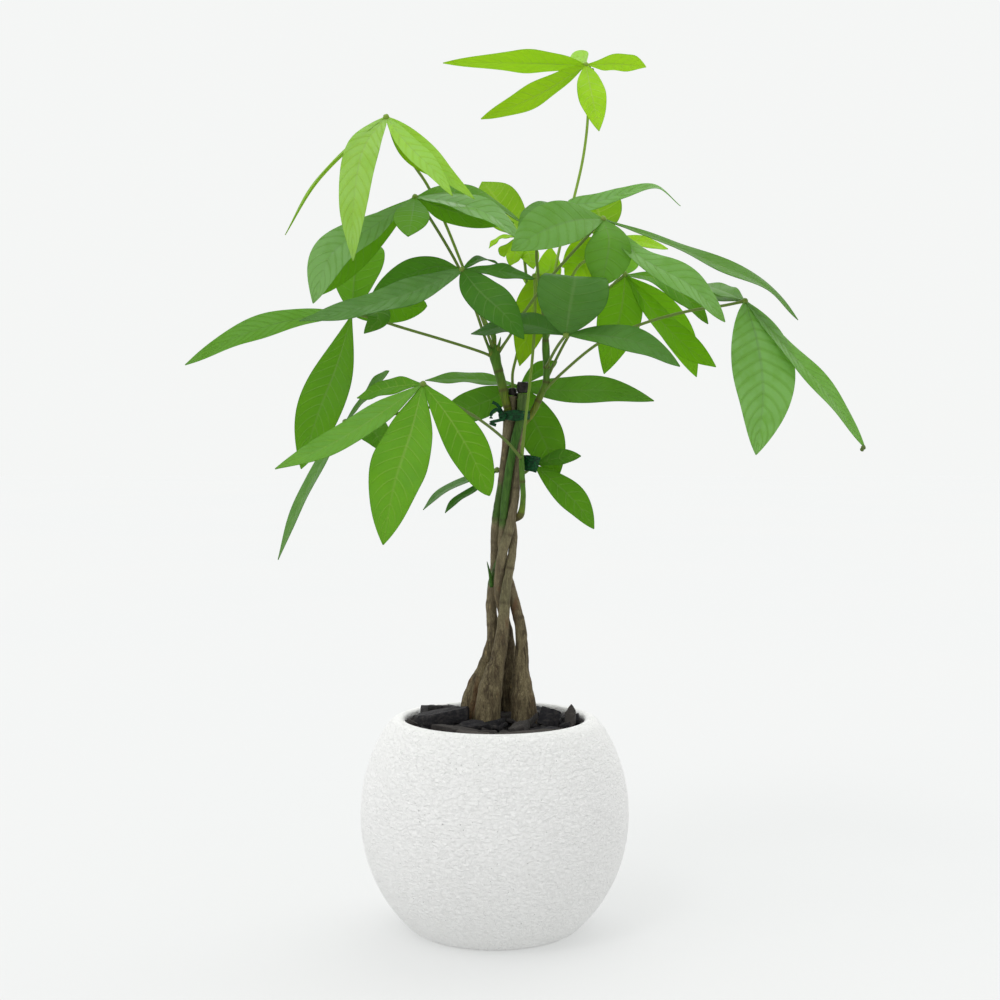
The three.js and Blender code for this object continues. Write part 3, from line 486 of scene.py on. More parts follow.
def shoot_material():
    """Young green wood, yellower towards its foot."""
    shade = Shade("green_shoot")
    along, _, _ = shade.attribute("place")
    _, ring, dark = shade.attribute("cast")
    streak = shade.noise(1, 4, 0.6, shade.stretched(620, 620, 110))
    colour = shade.mix(shade.ramp(along, 0.05, 0.55), (0.17, 0.20, 0.015), (0.075, 0.19, 0.012))
    colour = shade.cover(colour, streak, 0.35, 0.7, 0.6, (0.03, 0.085, 0.006))
    colour = shade.mix(shade.times(ring, 0.8), colour, (0.07, 0.045, 0.015))
    colour = shade.mix(shade.times(dark, 0.85), colour, (0.05, 0.035, 0.015))
    normal = shade.bump(streak, 0.0005, 0.5)
    return shade.finish(shade.principled(colour, 0.48, normal, specular=0.25))


def pot_material():
    """Cast off-white pot: a matt wrinkled skin, a little darker where its creases sink, as painted shade,
    with fine dark specks.
    """
    shade = Shade("pot")
    tint = shade.noise(9, 3, 0.5)
    colour = shade.mix(shade.ramp(tint, 0.35, 0.65), (0.885, 0.885, 0.875), (0.905, 0.905, 0.895))
    wrinkle = shade.noise(1, 4, 0.6, shade.stretched(290, 290, 430), 0.9)
    # painted shade: the colour darkens a little in the wrinkles' hollows
    colour = shade.cover(colour, wrinkle, 0.52, 0.32, 0.10, (0.60, 0.62, 0.61))
    speck_cells = shade.cells(190)
    chosen = shade.ramp(shade.noise(1, 0, 0.5, shade.stretched(61, 61, 61)), 0.52, 0.60)
    specks = shade.times(shade.ramp(speck_cells, 0.11, 0.05), chosen)
    colour = shade.mix(shade.times(specks, 0.6), colour, (0.28, 0.28, 0.27))
    normal = shade.bump(wrinkle, 0.0028, 0.85)
    normal = shade.bump(shade.noise(900, 2, 0.5), 0.00012, 0.4, normal)
    normal = shade.bump(specks, -0.0004, 0.6, normal)
    return shade.finish(shade.principled(colour, 0.72, normal, specular=0.35))


def chip_material():
    """Dark bark chips: charcoal, some of them brownish grey, with a fine fibrous grain."""
    shade = Shade("bark_chips")
    tint, _, _ = shade.attribute("cast")
    fibre = shade.noise(1, 4, 0.65, shade.stretched(160, 900, 500))
    dust = shade.noise(140, 4, 0.6)
    colour = shade.mix(tint, (0.010, 0.010, 0.013), (0.062, 0.054, 0.047))
    colour = shade.cover(colour, fibre, 0.4, 0.75, 0.5, (0.075, 0.069, 0.064))
    colour = shade.cover(colour, dust, 0.55, 0.8, 0.4, (0.11, 0.095, 0.08))
    normal = shade.bump(fibre, 0.0009, 0.8)
    return shade.finish(shade.principled(colour, 0.85, normal, specular=0.3))


def soil_material():
    """Crumbly potting mix."""
    shade = Shade("soil")
    crumb = shade.cells(420)
    speck = shade.noise(260, 4, 0.7)
    colour = shade.mix(shade.ramp(speck, 0.35, 0.7), (0.018, 0.012, 0.008), (0.055, 0.036, 0.022))
    normal = shade.bump(crumb, 0.0012, 0.9)
    return shade.finish(shade.principled(colour, 0.95, normal))


def seal_material():
    """Black wax, lumpy and a little shiny."""
    shade = Shade("seal")
    lumps = shade.noise(420, 3, 0.6)
    colour = shade.mix(shade.ramp(lumps, 0.4, 0.7), (0.006, 0.005, 0.005), (0.028, 0.02, 0.016))
    normal = shade.bump(lumps, 0.0009, 0.8)
    return shade.finish(shade.principled(colour, 0.42, normal, specular=0.3))


def tie_material():
    """Creased strip of dark green plastic, painted lighter on its raised folds and darker in its creases,
    as highlight and shade.
    """
    shade = Shade("tie")
    crease = shade.noise(1, 4, 0.6, shade.stretched(260, 260, 620), 1.2)
    # painted highlight and shade: lighter where the creases rise, darker where they sink
    colour = shade.mix(shade.ramp(crease, 0.35, 0.7), (0.001, 0.022, 0.006), (0.002, 0.10, 0.022))
    normal = shade.bump(crease, 0.0014, 0.9)
    return shade.finish(shade.principled(colour, 0.36, normal, specular=0.25))


def floor_material():
    """Matt sheet that glows a little, as a bright lit backdrop does in a photograph."""
    shade = Shade("floor")
    tone = shade.noise(0.8, 2, 0.5)
    colour = shade.mix(shade.ramp(tone, 0.3, 0.7), (0.345, 0.35, 0.35), (0.35, 0.352, 0.35))
    sheet = shade.principled(colour, 1.0, specular=0.0)
    glow = shade.node("ShaderNodeEmission", {"Color": (0.44, 0.447, 0.442)}).outputs[0]
    return shade.finish(shade.node("ShaderNodeAddShader", {0: sheet, 1: glow}).outputs[0])


# Pot


def pot_outer_radius(z):
    reach = POT_LOWER_REACH if z < POT_BELLY_HEIGHT else POT_UPPER_REACH
    return POT_RADIUS * math.sqrt(1 - ((z - POT_BELLY_HEIGHT) / reach) ** 2)


def pot_outline():
    """Radius, height and depth of relief from the middle of the foot over the lip to the floor."""
    outline = [(0.01, FLOOR_LEVEL, 0)]
    foot = pot_outer_radius(FLOOR_LEVEL) - POT_FOOT_ROUND
    outline += [(foot * share, FLOOR_LEVEL, 0) for share in (0.35, 0.7, 0.95, 1.0)]
    outline += [
        (foot + POT_FOOT_ROUND * math.sin(turn),
         FLOOR_LEVEL + POT_FOOT_ROUND * (1 - math.cos(turn)), 0.2)
        for turn in (0.4, 0.8, 1.2)
    ]
    start = FLOOR_LEVEL + POT_FOOT_ROUND + 0.5
    low = math.asin((start - POT_BELLY_HEIGHT) / POT_LOWER_REACH)
    high = math.asin((MOUTH_HEIGHT - 3 - POT_BELLY_HEIGHT) / POT_UPPER_REACH)
    for turn in np.linspace(low, high, 240):
        reach = POT_LOWER_REACH if turn < 0 else POT_UPPER_REACH
        z = POT_BELLY_HEIGHT + reach * math.sin(turn)
        fade = min(1.0, (z - start) / FOOT_FADE, (MOUTH_HEIGHT + 3 - z) / MOUTH_FADE)
        outline.append((pot_outer_radius(z), z, max(0.25, fade)))
    lip = [(88.5, 161.6), (87.2, 163.2), (85.8, 164.7), (84.1, 166.1), (82.1, 167.1), (79.9, 167.8),
           (77.6, 168), (75.8, 167.8), (74.8, 167.2), (74.2, 166.2), (74, 164.8),
           (POT_OPENING_RADIUS, MOUTH_HEIGHT)]
    outline += [(r, z, 0.3) for r, z in lip]
    for z in np.linspace(MOUTH_HEIGHT - 8, POT_FLOOR, 12):
        outline.append((pot_outer_radius(z) - POT_WALL, z, 0))
    outline.append((0.01, POT_FLOOR, 0))
    return outline


def wrinkles(point):
    """Relief of the cast skin, from about -1 to 1: short creases that run round the pot."""
    x, y, z = point
    bend = 3.5 * grain(point, 26, 0.8, 3.0)
    crease = 0.0
    for size, share in ((6.5, 0.55), (3.8, 0.45)):
        ripple = grain((x, y, z + bend), size, 0.42, size)
        crease += share * (1 - 3.2 * abs(ripple))
    calm = 0.55 + 0.45 * grain(point, 55, 0.7, 9.0) + 0.3 * (z - 90) / 80
    return crease * max(0.25, min(1.0, calm))


def make_pot():
    """Turned outline with the wrinkles raised on it."""
    outline = pot_outline()
    points = np.zeros((len(outline), POT_TURNS, 3))
    for i, (radius, z, relief) in enumerate(outline):
        for j in range(POT_TURNS):
            turn = 2 * math.pi * j / POT_TURNS
            cosine, sine = math.cos(turn), math.sin(turn)
            lift = 0.0
            if relief:
                lift = relief * WRINKLE_HEIGHT * wrinkles((radius * cosine, radius * sine, z))
            points[i, j] = ((radius + lift) * cosine, (radius + lift) * sine, z)
    skin = Skin()
    skin.add(points, grid_faces(len(outline), POT_TURNS, wrap=True))
    dress("pot", skin, [pot_material()], "pot")


# Bark chips

# Chips that lie in front, where the eye falls on them: place, size and turns in degrees, and
# how brown they are
FRONT_CHIPS = [
    {"at": (-17, -60, 164), "size": (36, 13, 5), "turn": -8, "pitch": 4, "brown": 0.9},
    {"at": (-28, -48, 165), "size": (44, 14, 5), "turn": -12, "pitch": 6, "brown": 0.5},
    {"at": (6, -66, 163.5), "size": (13, 10, 6), "turn": 10, "pitch": 0, "brown": 0.8},
    {"at": (-7, -70, 162), "size": (15, 9, 6), "turn": -20, "pitch": 0, "brown": 0.7},
    {"at": (31, -58, 164), "size": (56, 22, 5), "turn": 6, "pitch": -3, "brown": 0.75},
    {"at": (44, -20, 171), "size": (20, 16, 14), "turn": 30, "pitch": 20, "brown": 0.0},
    {"at": (61, -16, 168), "size": (30, 9, 5), "turn": 70, "pitch": -60, "brown": 0.6},
    {"at": (-66, -14, 163), "size": (16, 10, 6), "turn": 15, "pitch": 30, "brown": 0.4},
    {"at": (-42, -20, 171), "size": (46, 24, 11), "turn": 12, "pitch": -8, "brown": 0.05},
    {"at": (-50, 12, 170), "size": (34, 26, 10), "turn": 60, "pitch": 8, "brown": 0.1},
]

# Rules for the other chips, which lie on a spiral from the middle outwards. Each size is the
# least and what a draw adds to it. tilt is in radians, and brown gives the share of brown in chip k.
LARGE_CHIPS = {
    "count": 22, "reach": 64, "step": 2.4, "start": 0, "height": 160.5, "lift": 3, "tilt": 0.7,
    "sizes": ((18, 14), (10, 7), (5, 3)), "brown": lambda k, draw: 0.5 * (k % 5 == 0),
}
SMALL_CHIPS = {
    "count": 110, "reach": 70, "step": 2.39996, "start": 0.4, "height": 160, "lift": 2.5, "tilt": 0.9,
    "sizes": ((8, 9), (5, 5), (2, 2.5)), "brown": lambda k, draw: 0.45 * next(draw),
}


def add_chip(skin, at, size, turn, pitch, roll, draw, brown):
    """Flat uneven slab with worn edges, turned about X, Y and Z in that order."""
    length, breadth, thickness = size
    corners = []
    for k in range(CHIP_SIDES):
        angle = 2 * math.pi * (k + 0.5 * next(draw)) / CHIP_SIDES
        reach = 0.8 + 0.35 * next(draw)
        corners.append((0.5 * length * reach * math.cos(angle),
                        0.5 * breadth * reach * math.sin(angle)))
    outline = []
    for k in range(CHIP_SIDES):
        (ax, ay), (bx, by) = corners[k], corners[(k + 1) % CHIP_SIDES]
        outline += [(ax + (bx - ax) * w, ay + (by - ay) * w) for w in (0.0, 0.33, 0.67)]
    turned = Euler((roll, pitch, turn), "XYZ").to_matrix()
    count = len(outline)
    rows = []
    for height, inset in ((-0.5, 0.93), (-0.2, 1.0), (0.3, 1.0), (0.5, 0.95), (0.5, 0.5)):
        for x, y in outline:
            rows.append((x * inset, y * inset, height * thickness))
    rows += [(0, 0, 0.5 * thickness), (0, 0, -0.5 * thickness)]
    points = []
    for row in rows:
        spot = Vector(row)
        worn = 0.9 * noise.noise(spot / 5 + Vector(at)) + 0.5 * noise.noise(spot / 2 + Vector(at))
        spot.z += worn * min(1.0, thickness / 5)
        spot.x += 0.6 * noise.noise(spot / 3 + Vector((at[0], 7, 3)))
        spot.y += 0.6 * noise.noise(spot / 3 + Vector((at[1], 1, 9)))
        spot = turned @ spot + Vector(at)
        reach = math.hypot(spot.x, spot.y)
        if reach > MULCH_REACH:
            spot.x *= MULCH_REACH / reach
            spot.y *= MULCH_REACH / reach
        points.append(tuple(spot))
    faces = grid_faces(5, count, wrap=True)
    top, bottom = 5 * count, 5 * count + 1
    for j in range(count):
        k = (j + 1) % count
        faces.append((4 * count + j, 4 * count + k, top))
        faces.append((k, j, bottom))
    skin.add(points, faces, cast=(brown, 0, 0))


def add_bed(skin):
    """Uneven bed of fines under the chips."""
    rows, columns = 26, 96
    points = np.zeros((rows, columns, 3))
    for i in range(rows):
        reach = (POT_OPENING_RADIUS + 1.5) * i / (rows - 1)
        for j in range(columns):
            turn = 2 * math.pi * j / columns
            x, y = reach * math.cos(turn), reach * math.sin(turn)
            heap = 3.5 * (1 - reach / (POT_OPENING_RADIUS + 2))
            z = BARK_BED_TOP + 0.5 + heap + 1.6 * grain((x, y, 0), 5)
            points[i, j] = (x, y, z)
    below = points[::-1].copy()
    below[..., 2] = BARK_BED_TOP - 4
    skin.add(np.vstack([points, below]), grid_faces(2 * rows, columns, wrap=True), cast=(0.1, 0, 0))


def scatter_chips(skin, rule, draw):
    (length, longer), (breadth, broader), (thickness, thicker) = rule["sizes"]
    for k in range(rule["count"]):
        reach = rule["reach"] * math.sqrt((k + 0.5) / rule["count"])
        angle = k * rule["step"] + rule["start"]
        mound = MOUND_HEIGHT * (1 - reach / POT_OPENING_RADIUS)
        z = rule["height"] + mound + rule["lift"] * next(draw)
        at = (reach * math.cos(angle), reach * math.sin(angle), z)
        size = (
            length + longer * next(draw), breadth + broader * next(draw),
            thickness + thicker * next(draw),
        )
        turn = 2 * math.pi * next(draw)
        pitch, roll = rule["tilt"] * (next(draw) - 0.5), rule["tilt"] * (next(draw) - 0.5)
        add_chip(skin, at, size, turn, pitch, roll, draw, rule["brown"](k, draw))


def make_chips():
    skin = Skin()
    add_bed(skin)
    draw = random_from(CHIP_SEED)
    for chip in FRONT_CHIPS:
        roll = 0.15 * (next(draw) - 0.5)
        add_chip(skin, chip["at"], chip["size"], math.radians(chip["turn"]),
                 math.radians(chip["pitch"]), roll, draw, chip["brown"])
    scatter_chips(skin, LARGE_CHIPS, draw)
    scatter_chips(skin, SMALL_CHIPS, random_from(CHIP_SEED + 1))
    dress("bark_mulch", skin, [chip_material()], "bark_chips", smooth=False)


# Wood: each stem as a list of places from its foot to its cut top, with its radius there

STEMS = {
    "stem_front": [
        (-6, -14, STEM_FOOT, 11.5), (-6, -14, 158, 11.5), (-6, -14, 172, 10.9), (-4, -13, 187, 10),
        (-1, -12, 202, 8.2), (3, -11, 217, 6), (6, -10, 235, 5.4), (7.6, -10, 254, 4.7),
        (9.3, -10, 272, 4.1), (11.8, -9, 286, 3.6), (14.6, -6, 303, 3.4), (15.4, 0, 318, 3.3),
        (14, 2, 332, 3.2), (12.6, 3, 348, 3.1), (13.2, 4.5, 371, 3), (15, 6, 396, 3),
        (17.6, 5.5, 412, 3), (18, 5, 429, 3),
    ],
    "stem_right": [
        (25, -8, STEM_FOOT, 11.8), (25, -8, 160, 11.8), (23.6, -8, 181, 10), (22.4, -7, 194, 8.2),
        (22, -6, 209, 6.2), (22.3, -5, 227, 5.1), (21, -4, 243, 4.6), (18, -3, 256, 4.4),
        (14.5, -1, 269, 4.1), (11, 0, 283, 3.7), (7.8, 0.8, 297, 3.5), (5.8, 0, 309, 3.4),
        (6.4, -2, 321, 3.3), (7.7, -4, 337, 3.3), (9, -5, 350, 3.3), (11.3, -6, 367, 3.3),
        (15, -7, 388, 3.3), (19, -7, 404, 3.5), (22, -7, 419, 3.9), (23.3, -6.5, 434, 4.3),
    ],
    "stem_middle": [
        (11, 13, STEM_FOOT, 8.6), (11, 13, 160, 8.6), (10.6, 12, 181, 7.4), (11.4, 10, 198, 6),
        (12.4, 7, 219, 4.8), (11, 3, 235, 4.4), (8, -0.5, 249, 4.2), (4.8, -2, 262, 4),
        (3.2, -3.5, 273, 3.9), (3.9, -5.5, 285, 3.9), (5.2, -7.5, 297, 4), (8, -8, 309, 4),
        (12, -7, 322, 3.9), (15, -5.5, 337, 3.5), (17, -4, 350, 3.4), (18, -2.5, 366, 3.1),
        (19, -1.5, 385, 3), (20.4, -0.5, 400, 3), (21.6, 0, 412, 3), (22.5, 1, 429, 3),
    ],
    "stem_left": [
        (-20.5, 3, STEM_FOOT, 11), (-20.5, 3, 160, 11), (-17.5, 3, 181, 9.8),
        (-14.4, 2, 192, 8.4), (-8.6, 0, 208, 6.2), (-4.3, 0, 221, 5.2), (-1, 0, 234, 4.8),
        (-2, 2, 246, 4.6), (-2.8, 4, 257, 4.4), (-2.6, 6, 268, 4.2), (-0.6, 7, 279, 3.9),
        (2, 7.6, 290, 3.6), (5.4, 8.6, 301, 3.5), (9, 9.5, 313, 3.3), (9.6, 10, 337, 3.1),
        (10.2, 10.5, 363, 3), (9, 9, 390, 3), (10, 7, 412, 3), (11, 7, 427, 3),
    ],
    "stem_back": [
        (-7, 22, STEM_FOOT, 8.4), (-7, 22, 160, 8.4), (-6, 20, 181, 7), (-4, 17, 205, 5.2),
        (-2, 14, 232, 4.6), (-2.4, 14, 257, 4.2), (-2.6, 14.5, 272, 4), (-0.6, 14, 285, 3.7),
        (0, 10, 297, 3.6), (0.2, 5, 309, 3.6), (0.3, 2.4, 321, 3.5), (1.6, 1.5, 335, 3.4),
        (3.2, 1, 346, 3.3), (5.4, 0.8, 358, 3.3), (7.6, 0.3, 378, 3.3), (10, -0.5, 396, 3.3),
        (12.4, -1, 410, 3.4), (14.4, -0.6, 422, 3.4), (14.6, -0.4, 432, 3.4),
    ],
}

# Heights of the rings that old leaves left, and how green the skin is at each height
STEM_RING_HEIGHTS = {
    "stem_front": (262.5, 290.5, 316, 343, 371),
    "stem_right": (249.3, 276, 305, 330),
    "stem_middle": (240, 290, 318, 356.4, 384),
    "stem_left": (244, 262, 288, 316, 350),
    "stem_back": (250, 282, 312, 331, 363, 372, 380, 389),
}
STEM_GREEN = {
    "stem_right": ((300, 0), (322, 0), (328, 0.9), (400, 1), (434, 0.7)),
    "stem_back": (
        (262, 0), (270, 0.6), (284, 0.6), (292, 0), (326, 0), (333, 0.9), (357, 0.8), (363, 0.05),
    ),
    "stem_front": ((240, 0.0), (266, 0.15), (300, 0.05), (330, 0)),
    "stem_middle": ((280, 0), (320, 0.1), (340, 0)),
    "stem_left": ((275, 0), (281, 0.85), (300, 0.85), (308, 0.1)),
}

SHOOTS = {
    "branch_left": [
        (12.6, -2.4, 414, 3), (9.6, -4, 426, 3.4), (6.4, -4.4, 440, 3.8), (2, -4, 457, 4.1),
        (-0.2, -3, 466, 4.7), (-1.2, -3, 472, 3.8), (-1, -3, 478, 1.6),
    ],
    "branch_right": [
        (22, 0, 407, 2.6), (31.4, 1, 419, 2.9), (38, 0, 433, 2.9), (42, -2, 442, 2.9),
        (42.5, -3, 455, 2.7), (42.2, -4, 470, 3.2), (41.6, -6, 486, 2.4), (40.8, -8, 499, 1.5),
    ],
    "shoot_side": [
        (15, -3, 330, 2.6), (21, -6, 334, 2.9), (23.4, -9, 348, 2.3), (22.8, -12, 363, 2.2),
        (22.2, -15, 376, 2.3), (22.2, -16, 384, 1.8),
    ],
}
SHOOT_RING_HEIGHTS = {
    "branch_left": (424, 437, 452),
    "branch_right": (428, 444, 456, 478),
    "shoot_side": (334, 336, 362),
}
# Buds and sprouts, each with the piece that it grows on
BUD_SCALES = [
    {"on": "branch_left", "at": (-1, -3, 474), "tip": (-0.6, -4, 487), "radius": 2.5},
    {"on": "branch_left", "at": (-2.5, -5, 466), "tip": (-6.8, -9, 476), "radius": 2},
    {"on": "branch_left", "at": (1.5, -4, 469), "tip": (5, -6, 481), "radius": 1.8},
    {"on": "stem_left", "at": (-2.4, 4, 275), "tip": (-6.4, 2, 296), "radius": 1.8},
]


def radius_along(radii):
    spans = len(radii) - 1

    def at(t):
        span = min(int(t * spans), spans - 1)
        w = t * spans - span
        w = w * w * (3 - 2 * w)
        return radii[span] * (1 - w) + radii[span + 1] * w

    return at


def height_along(places):
    heights = [place[2] for place in places]
    return lambda t: float(np.interp(t * (len(heights) - 1), range(len(heights)), heights))


def ring_along(height, rings, reach):
    """How near the place t is to a ring, from 0 to 1."""
    return lambda t: max(math.exp(-((height(t) - z) / reach) ** 2) for z in rings)


def make_stem(name, places, material):
    """Stem with flutes, ridges and a collar at each ring."""
    height = height_along(places)
    radius = radius_along([place[3] for place in places])
    ring_at = ring_along(height, STEM_RING_HEIGHTS[name], RING_REACH)
    stops, greens = zip(*STEM_GREEN[name])
    seed = len(name) + 3.7 * len(places)

    def cast(t):
        return (float(np.interp(height(t), stops, greens)), ring_at(t), 0.0)

    def rough(point, t):
        swell = radius(t)
        flutes = 0.10 * swell * grain(point, 1.1 * swell, 4.0, seed)
        ridges = 0.045 * swell * grain(point, 0.35 * swell, 5.0, seed)
        return flutes + ridges + 0.16 * ring_at(t)

    skin = Skin()
    add_tube(skin, curve_seen(places), radius, STEM_RINGS, STEM_SIDES, cast, rough=rough)
    add_buds(skin, name, (1, 0, 0))
    dress(name, skin, [material], "bark")


def make_shoot(name, places, material):
    """Green shoot with a collar at each ring. The side shoot is dark and woody at its foot."""
    height = height_along(places)
    radius = radius_along([place[3] for place in places])
    ring_at = ring_along(height, SHOOT_RING_HEIGHTS[name], SHOOT_RING_REACH)
    woody = name == "shoot_side"

    def cast(t):
        return (0, ring_at(t), float(woody and t < 0.16))

    def rough(point, t):
        return 0.08 * radius(t) * grain(point, 2.4, 3.0) + 0.18 * ring_at(t)

    skin = Skin()
    add_tube(skin, curve_seen(places), radius, SHOOT_RINGS, SHOOT_SIDES, cast, rough=rough)
    add_buds(skin, name, (0, 0, 0))
    dress(name, skin, [material], "green_shoot")


def add_buds(skin, name, cast):
    """The pointed scales that grow on this piece."""
    for scale in BUD_SCALES:
        if scale["on"] != name:
            continue
        start, end = seen(scale["at"]), seen(scale["tip"])
        size = scale["radius"]
        bow = np.array([0.25 * size, -0.4 * size, 0])
        path = curve_through([start, 0.5 * (start + end) + bow, end])
        add_tube(skin, path, lambda t: size * (1 - t) ** 0.7 + 0.12, 12, 10, lambda t: cast)


def make_wood():
    bark = bark_material()
    green = shoot_material()
    for name, places in STEMS.items():
        make_stem(name, places, bark)
    for name, places in SHOOTS.items():
        make_shoot(name, places, green)


# Each seal with its stem, height and radius
SEALS = [
    ("seal_back", "stem_back", 6, 3.6),
    ("seal_right", "stem_right", 9, 4.9),
    ("seal_front", "stem_front", 5, 2.7),
    ("seal_middle", "stem_middle", 4, 2.8),
    ("seal_left", "stem_left", 4, 2.9),
]
# Outline of a seal, from its foot to the dimple on top, as shares of its radius and height
SEAL_OUTLINE = [
    (0.01, 0), (0.85, 0), (0.99, 0.08), (1.0, 0.3), (0.95, 0.55), (1.0, 0.75), (0.93, 0.93),
    (0.75, 1.0), (0.5, 0.9), (0.25, 0.82), (0.01, 0.8),
]


def make_seals():
    """Lumpy caps of wax with a dimple on top."""
    wax = seal_material()
    for name, stem, height, radius in SEALS:
        top = seen(STEMS[stem][-1])
        low = top[2] + SEAL_GAP + 0.4
        points = np.zeros((len(SEAL_OUTLINE), SEAL_SIDES, 3))
        for i, (reach, rise) in enumerate(SEAL_OUTLINE):
            for j in range(SEAL_SIDES):
                turn = 2 * math.pi * j / SEAL_SIDES
                spot = np.array([
                    top[0] + radius * reach * math.cos(turn),
                    top[1] + radius * reach * math.sin(turn),
                    low + height * rise,
                ])
                lump = 1 + 0.12 * reach * grain(spot, 2.2, 1.0, radius)
                spot[:2] = top[:2] + (spot[:2] - top[:2]) * lump
                spot[2] += 0.5 * rise * grain(spot, 1.8, 1.0, height)
                points[i, j] = spot
        skin = Skin()
        skin.add(points, grid_faces(len(SEAL_OUTLINE), SEAL_SIDES, wrap=True))
        dress(name, skin, [wax], "seal")


# Ties

TOP_TIE = {"middle": (16.5, -0.6, 416), "across": 12.6, "deep": 12.4, "height": 9, "thick": 1.6}
TIE_ENDS = [
    [(6, -10, 417), (1, -13, 421), (-2.5, -14, 418), (-3, -14, 413.5)],
    [(8, -12, 413), (3, -14, 412), (-3.4, -16, 410), (1, -14, 408)],
    [(6, -10, 419), (2, -12, 425), (-2, -12, 427)],
]
TOP_KNOT = (6, -11.5, 416)
KNOT_RADIUS = 3.2
SIDE_TIE = [(18.5, 2, 377), (23.5, 2, 377), (27, -4, 377), (33, -7, 376), (36, -6.4, 375)]
# Height, thickness and crumple of each strip
END_STRIP = (2.6, 0.9, 0.5)
SIDE_STRIP = (13, 0.8, 0.7)


def add_ribbon(skin, places, height, thickness, crumple):
    """Creased strip along a curve."""
    path = curve_seen(places)
    steps = 12 * len(places)
    ts = np.linspace(0, 1, steps)
    centres = np.array([path(t) for t in ts])
    along = unit(np.gradient(centres, axis=0))
    up = np.array([0, 0, 1.0])
    side = unit(up - (along @ up)[:, None] * along)
    out = np.cross(along, side)
    across = (-1, -0.9, -0.5, 0, 0.5, 0.9, 1)
    rows = []
    for i in range(steps):
        ring = []
        for face in (1, -1):
            for s in across[::face]:
                spot = centres[i] + side[i] * (s * height / 2)
                fold = crumple * (grain(spot, 2.6, 0.6) + 0.5 * math.sin(2.4 * s + 9 * ts[i]))
                ring.append(spot + out[i] * (fold + face * thickness / 2))
        rows.append(ring)
    count = 2 * len(across)
    faces = grid_faces(steps, count, wrap=True)
    faces.append(tuple(reversed(range(count))))
    faces.append(tuple((steps - 1) * count + j for j in range(count)))
    skin.add(np.array(rows), faces)


def add_band(skin):
    """Creased band round the stems."""
    at = seen(TOP_TIE["middle"])
    turns, profile = 90, 16
    points = np.zeros((turns, profile, 3))
    for i in range(turns):
        turn = 2 * math.pi * i / turns
        for j in range(profile):
            roll = 2 * math.pi * j / profile
            rise = 0.5 * TOP_TIE["height"] * math.copysign(abs(math.cos(roll)) ** 0.5, math.cos(roll))
            inwards = 0.5 * TOP_TIE["thick"] * (1 - math.sin(roll))
            spot = np.array([
                at[0] + (TOP_TIE["across"] - inwards) * math.cos(turn),
                at[1] + (TOP_TIE["deep"] - inwards) * math.sin(turn),
                at[2] + rise * (0.86 + 0.14 * math.sin(3 * turn)),
            ])
            crease = 0.5 * grain(spot, 2.4, 0.5) + 0.25 * math.sin(2.6 * spot[2] + 2 * turn)
            points[i, j] = spot + crease * np.array([math.cos(turn), math.sin(turn), 0])
    wrapped = np.vstack([points, points[:1]])
    skin.add(wrapped, grid_faces(turns + 1, profile, wrap=True))


def make_ties():
    strip = tie_material()
    skin = Skin()
    add_band(skin)
    for places in TIE_ENDS:
        add_ribbon(skin, places, *END_STRIP)
    add_ball(skin, seen(TOP_KNOT), KNOT_RADIUS, rough=1.1, stretch=(1, 0.8, 1.1))
    dress("tie_top", skin, [strip], "tie")
    skin = Skin()
    add_ribbon(skin, SIDE_TIE, *SIDE_STRIP)
    dress("tie_side", skin, [strip], "tie")


# Leaves

# Ways that the upper side of a leaflet faces
FRONT = (0, -1, 0)
BACK = (0, 1, 0)


@dataclass
class Leaflet:
    """Blade of that width, whose midrib runs from the leaf's hub through places to its tip.

    The upper side faces the way that face says, then leans about the midrib by lean degrees at
    the base and tip_lean at the tip. The halves rise by fold degrees from the midrib, the edges
    wave by wave millimetres, waves / 2 times, and the skin between the veins rises by pucker.
    widest is where the blade is widest, and a smaller full makes it blunter. fresh runs from 0,
    old and dull, to 1, young and bright.
    """

    width: float
    places: list
    face: tuple = FRONT
    lean: float = 0
    tip_lean: float = None
    fold: float = 8
    wave: float = 1
    waves: float = 4.5
    widest: float = 0.547
    full: float = 0.85
    fresh: float = 0.5
    # how glossy the blade is: it lowers the roughness and lays a painted sheen on the blade
    gloss_and_sheen: float = 0
    pucker: float = 0.2


@dataclass
class Leaf:
    """Stalk from the wood to a hub, and the leaflets that spread from the hub."""

    name: str
    slot: str
    stalk: list
    leaflets: list


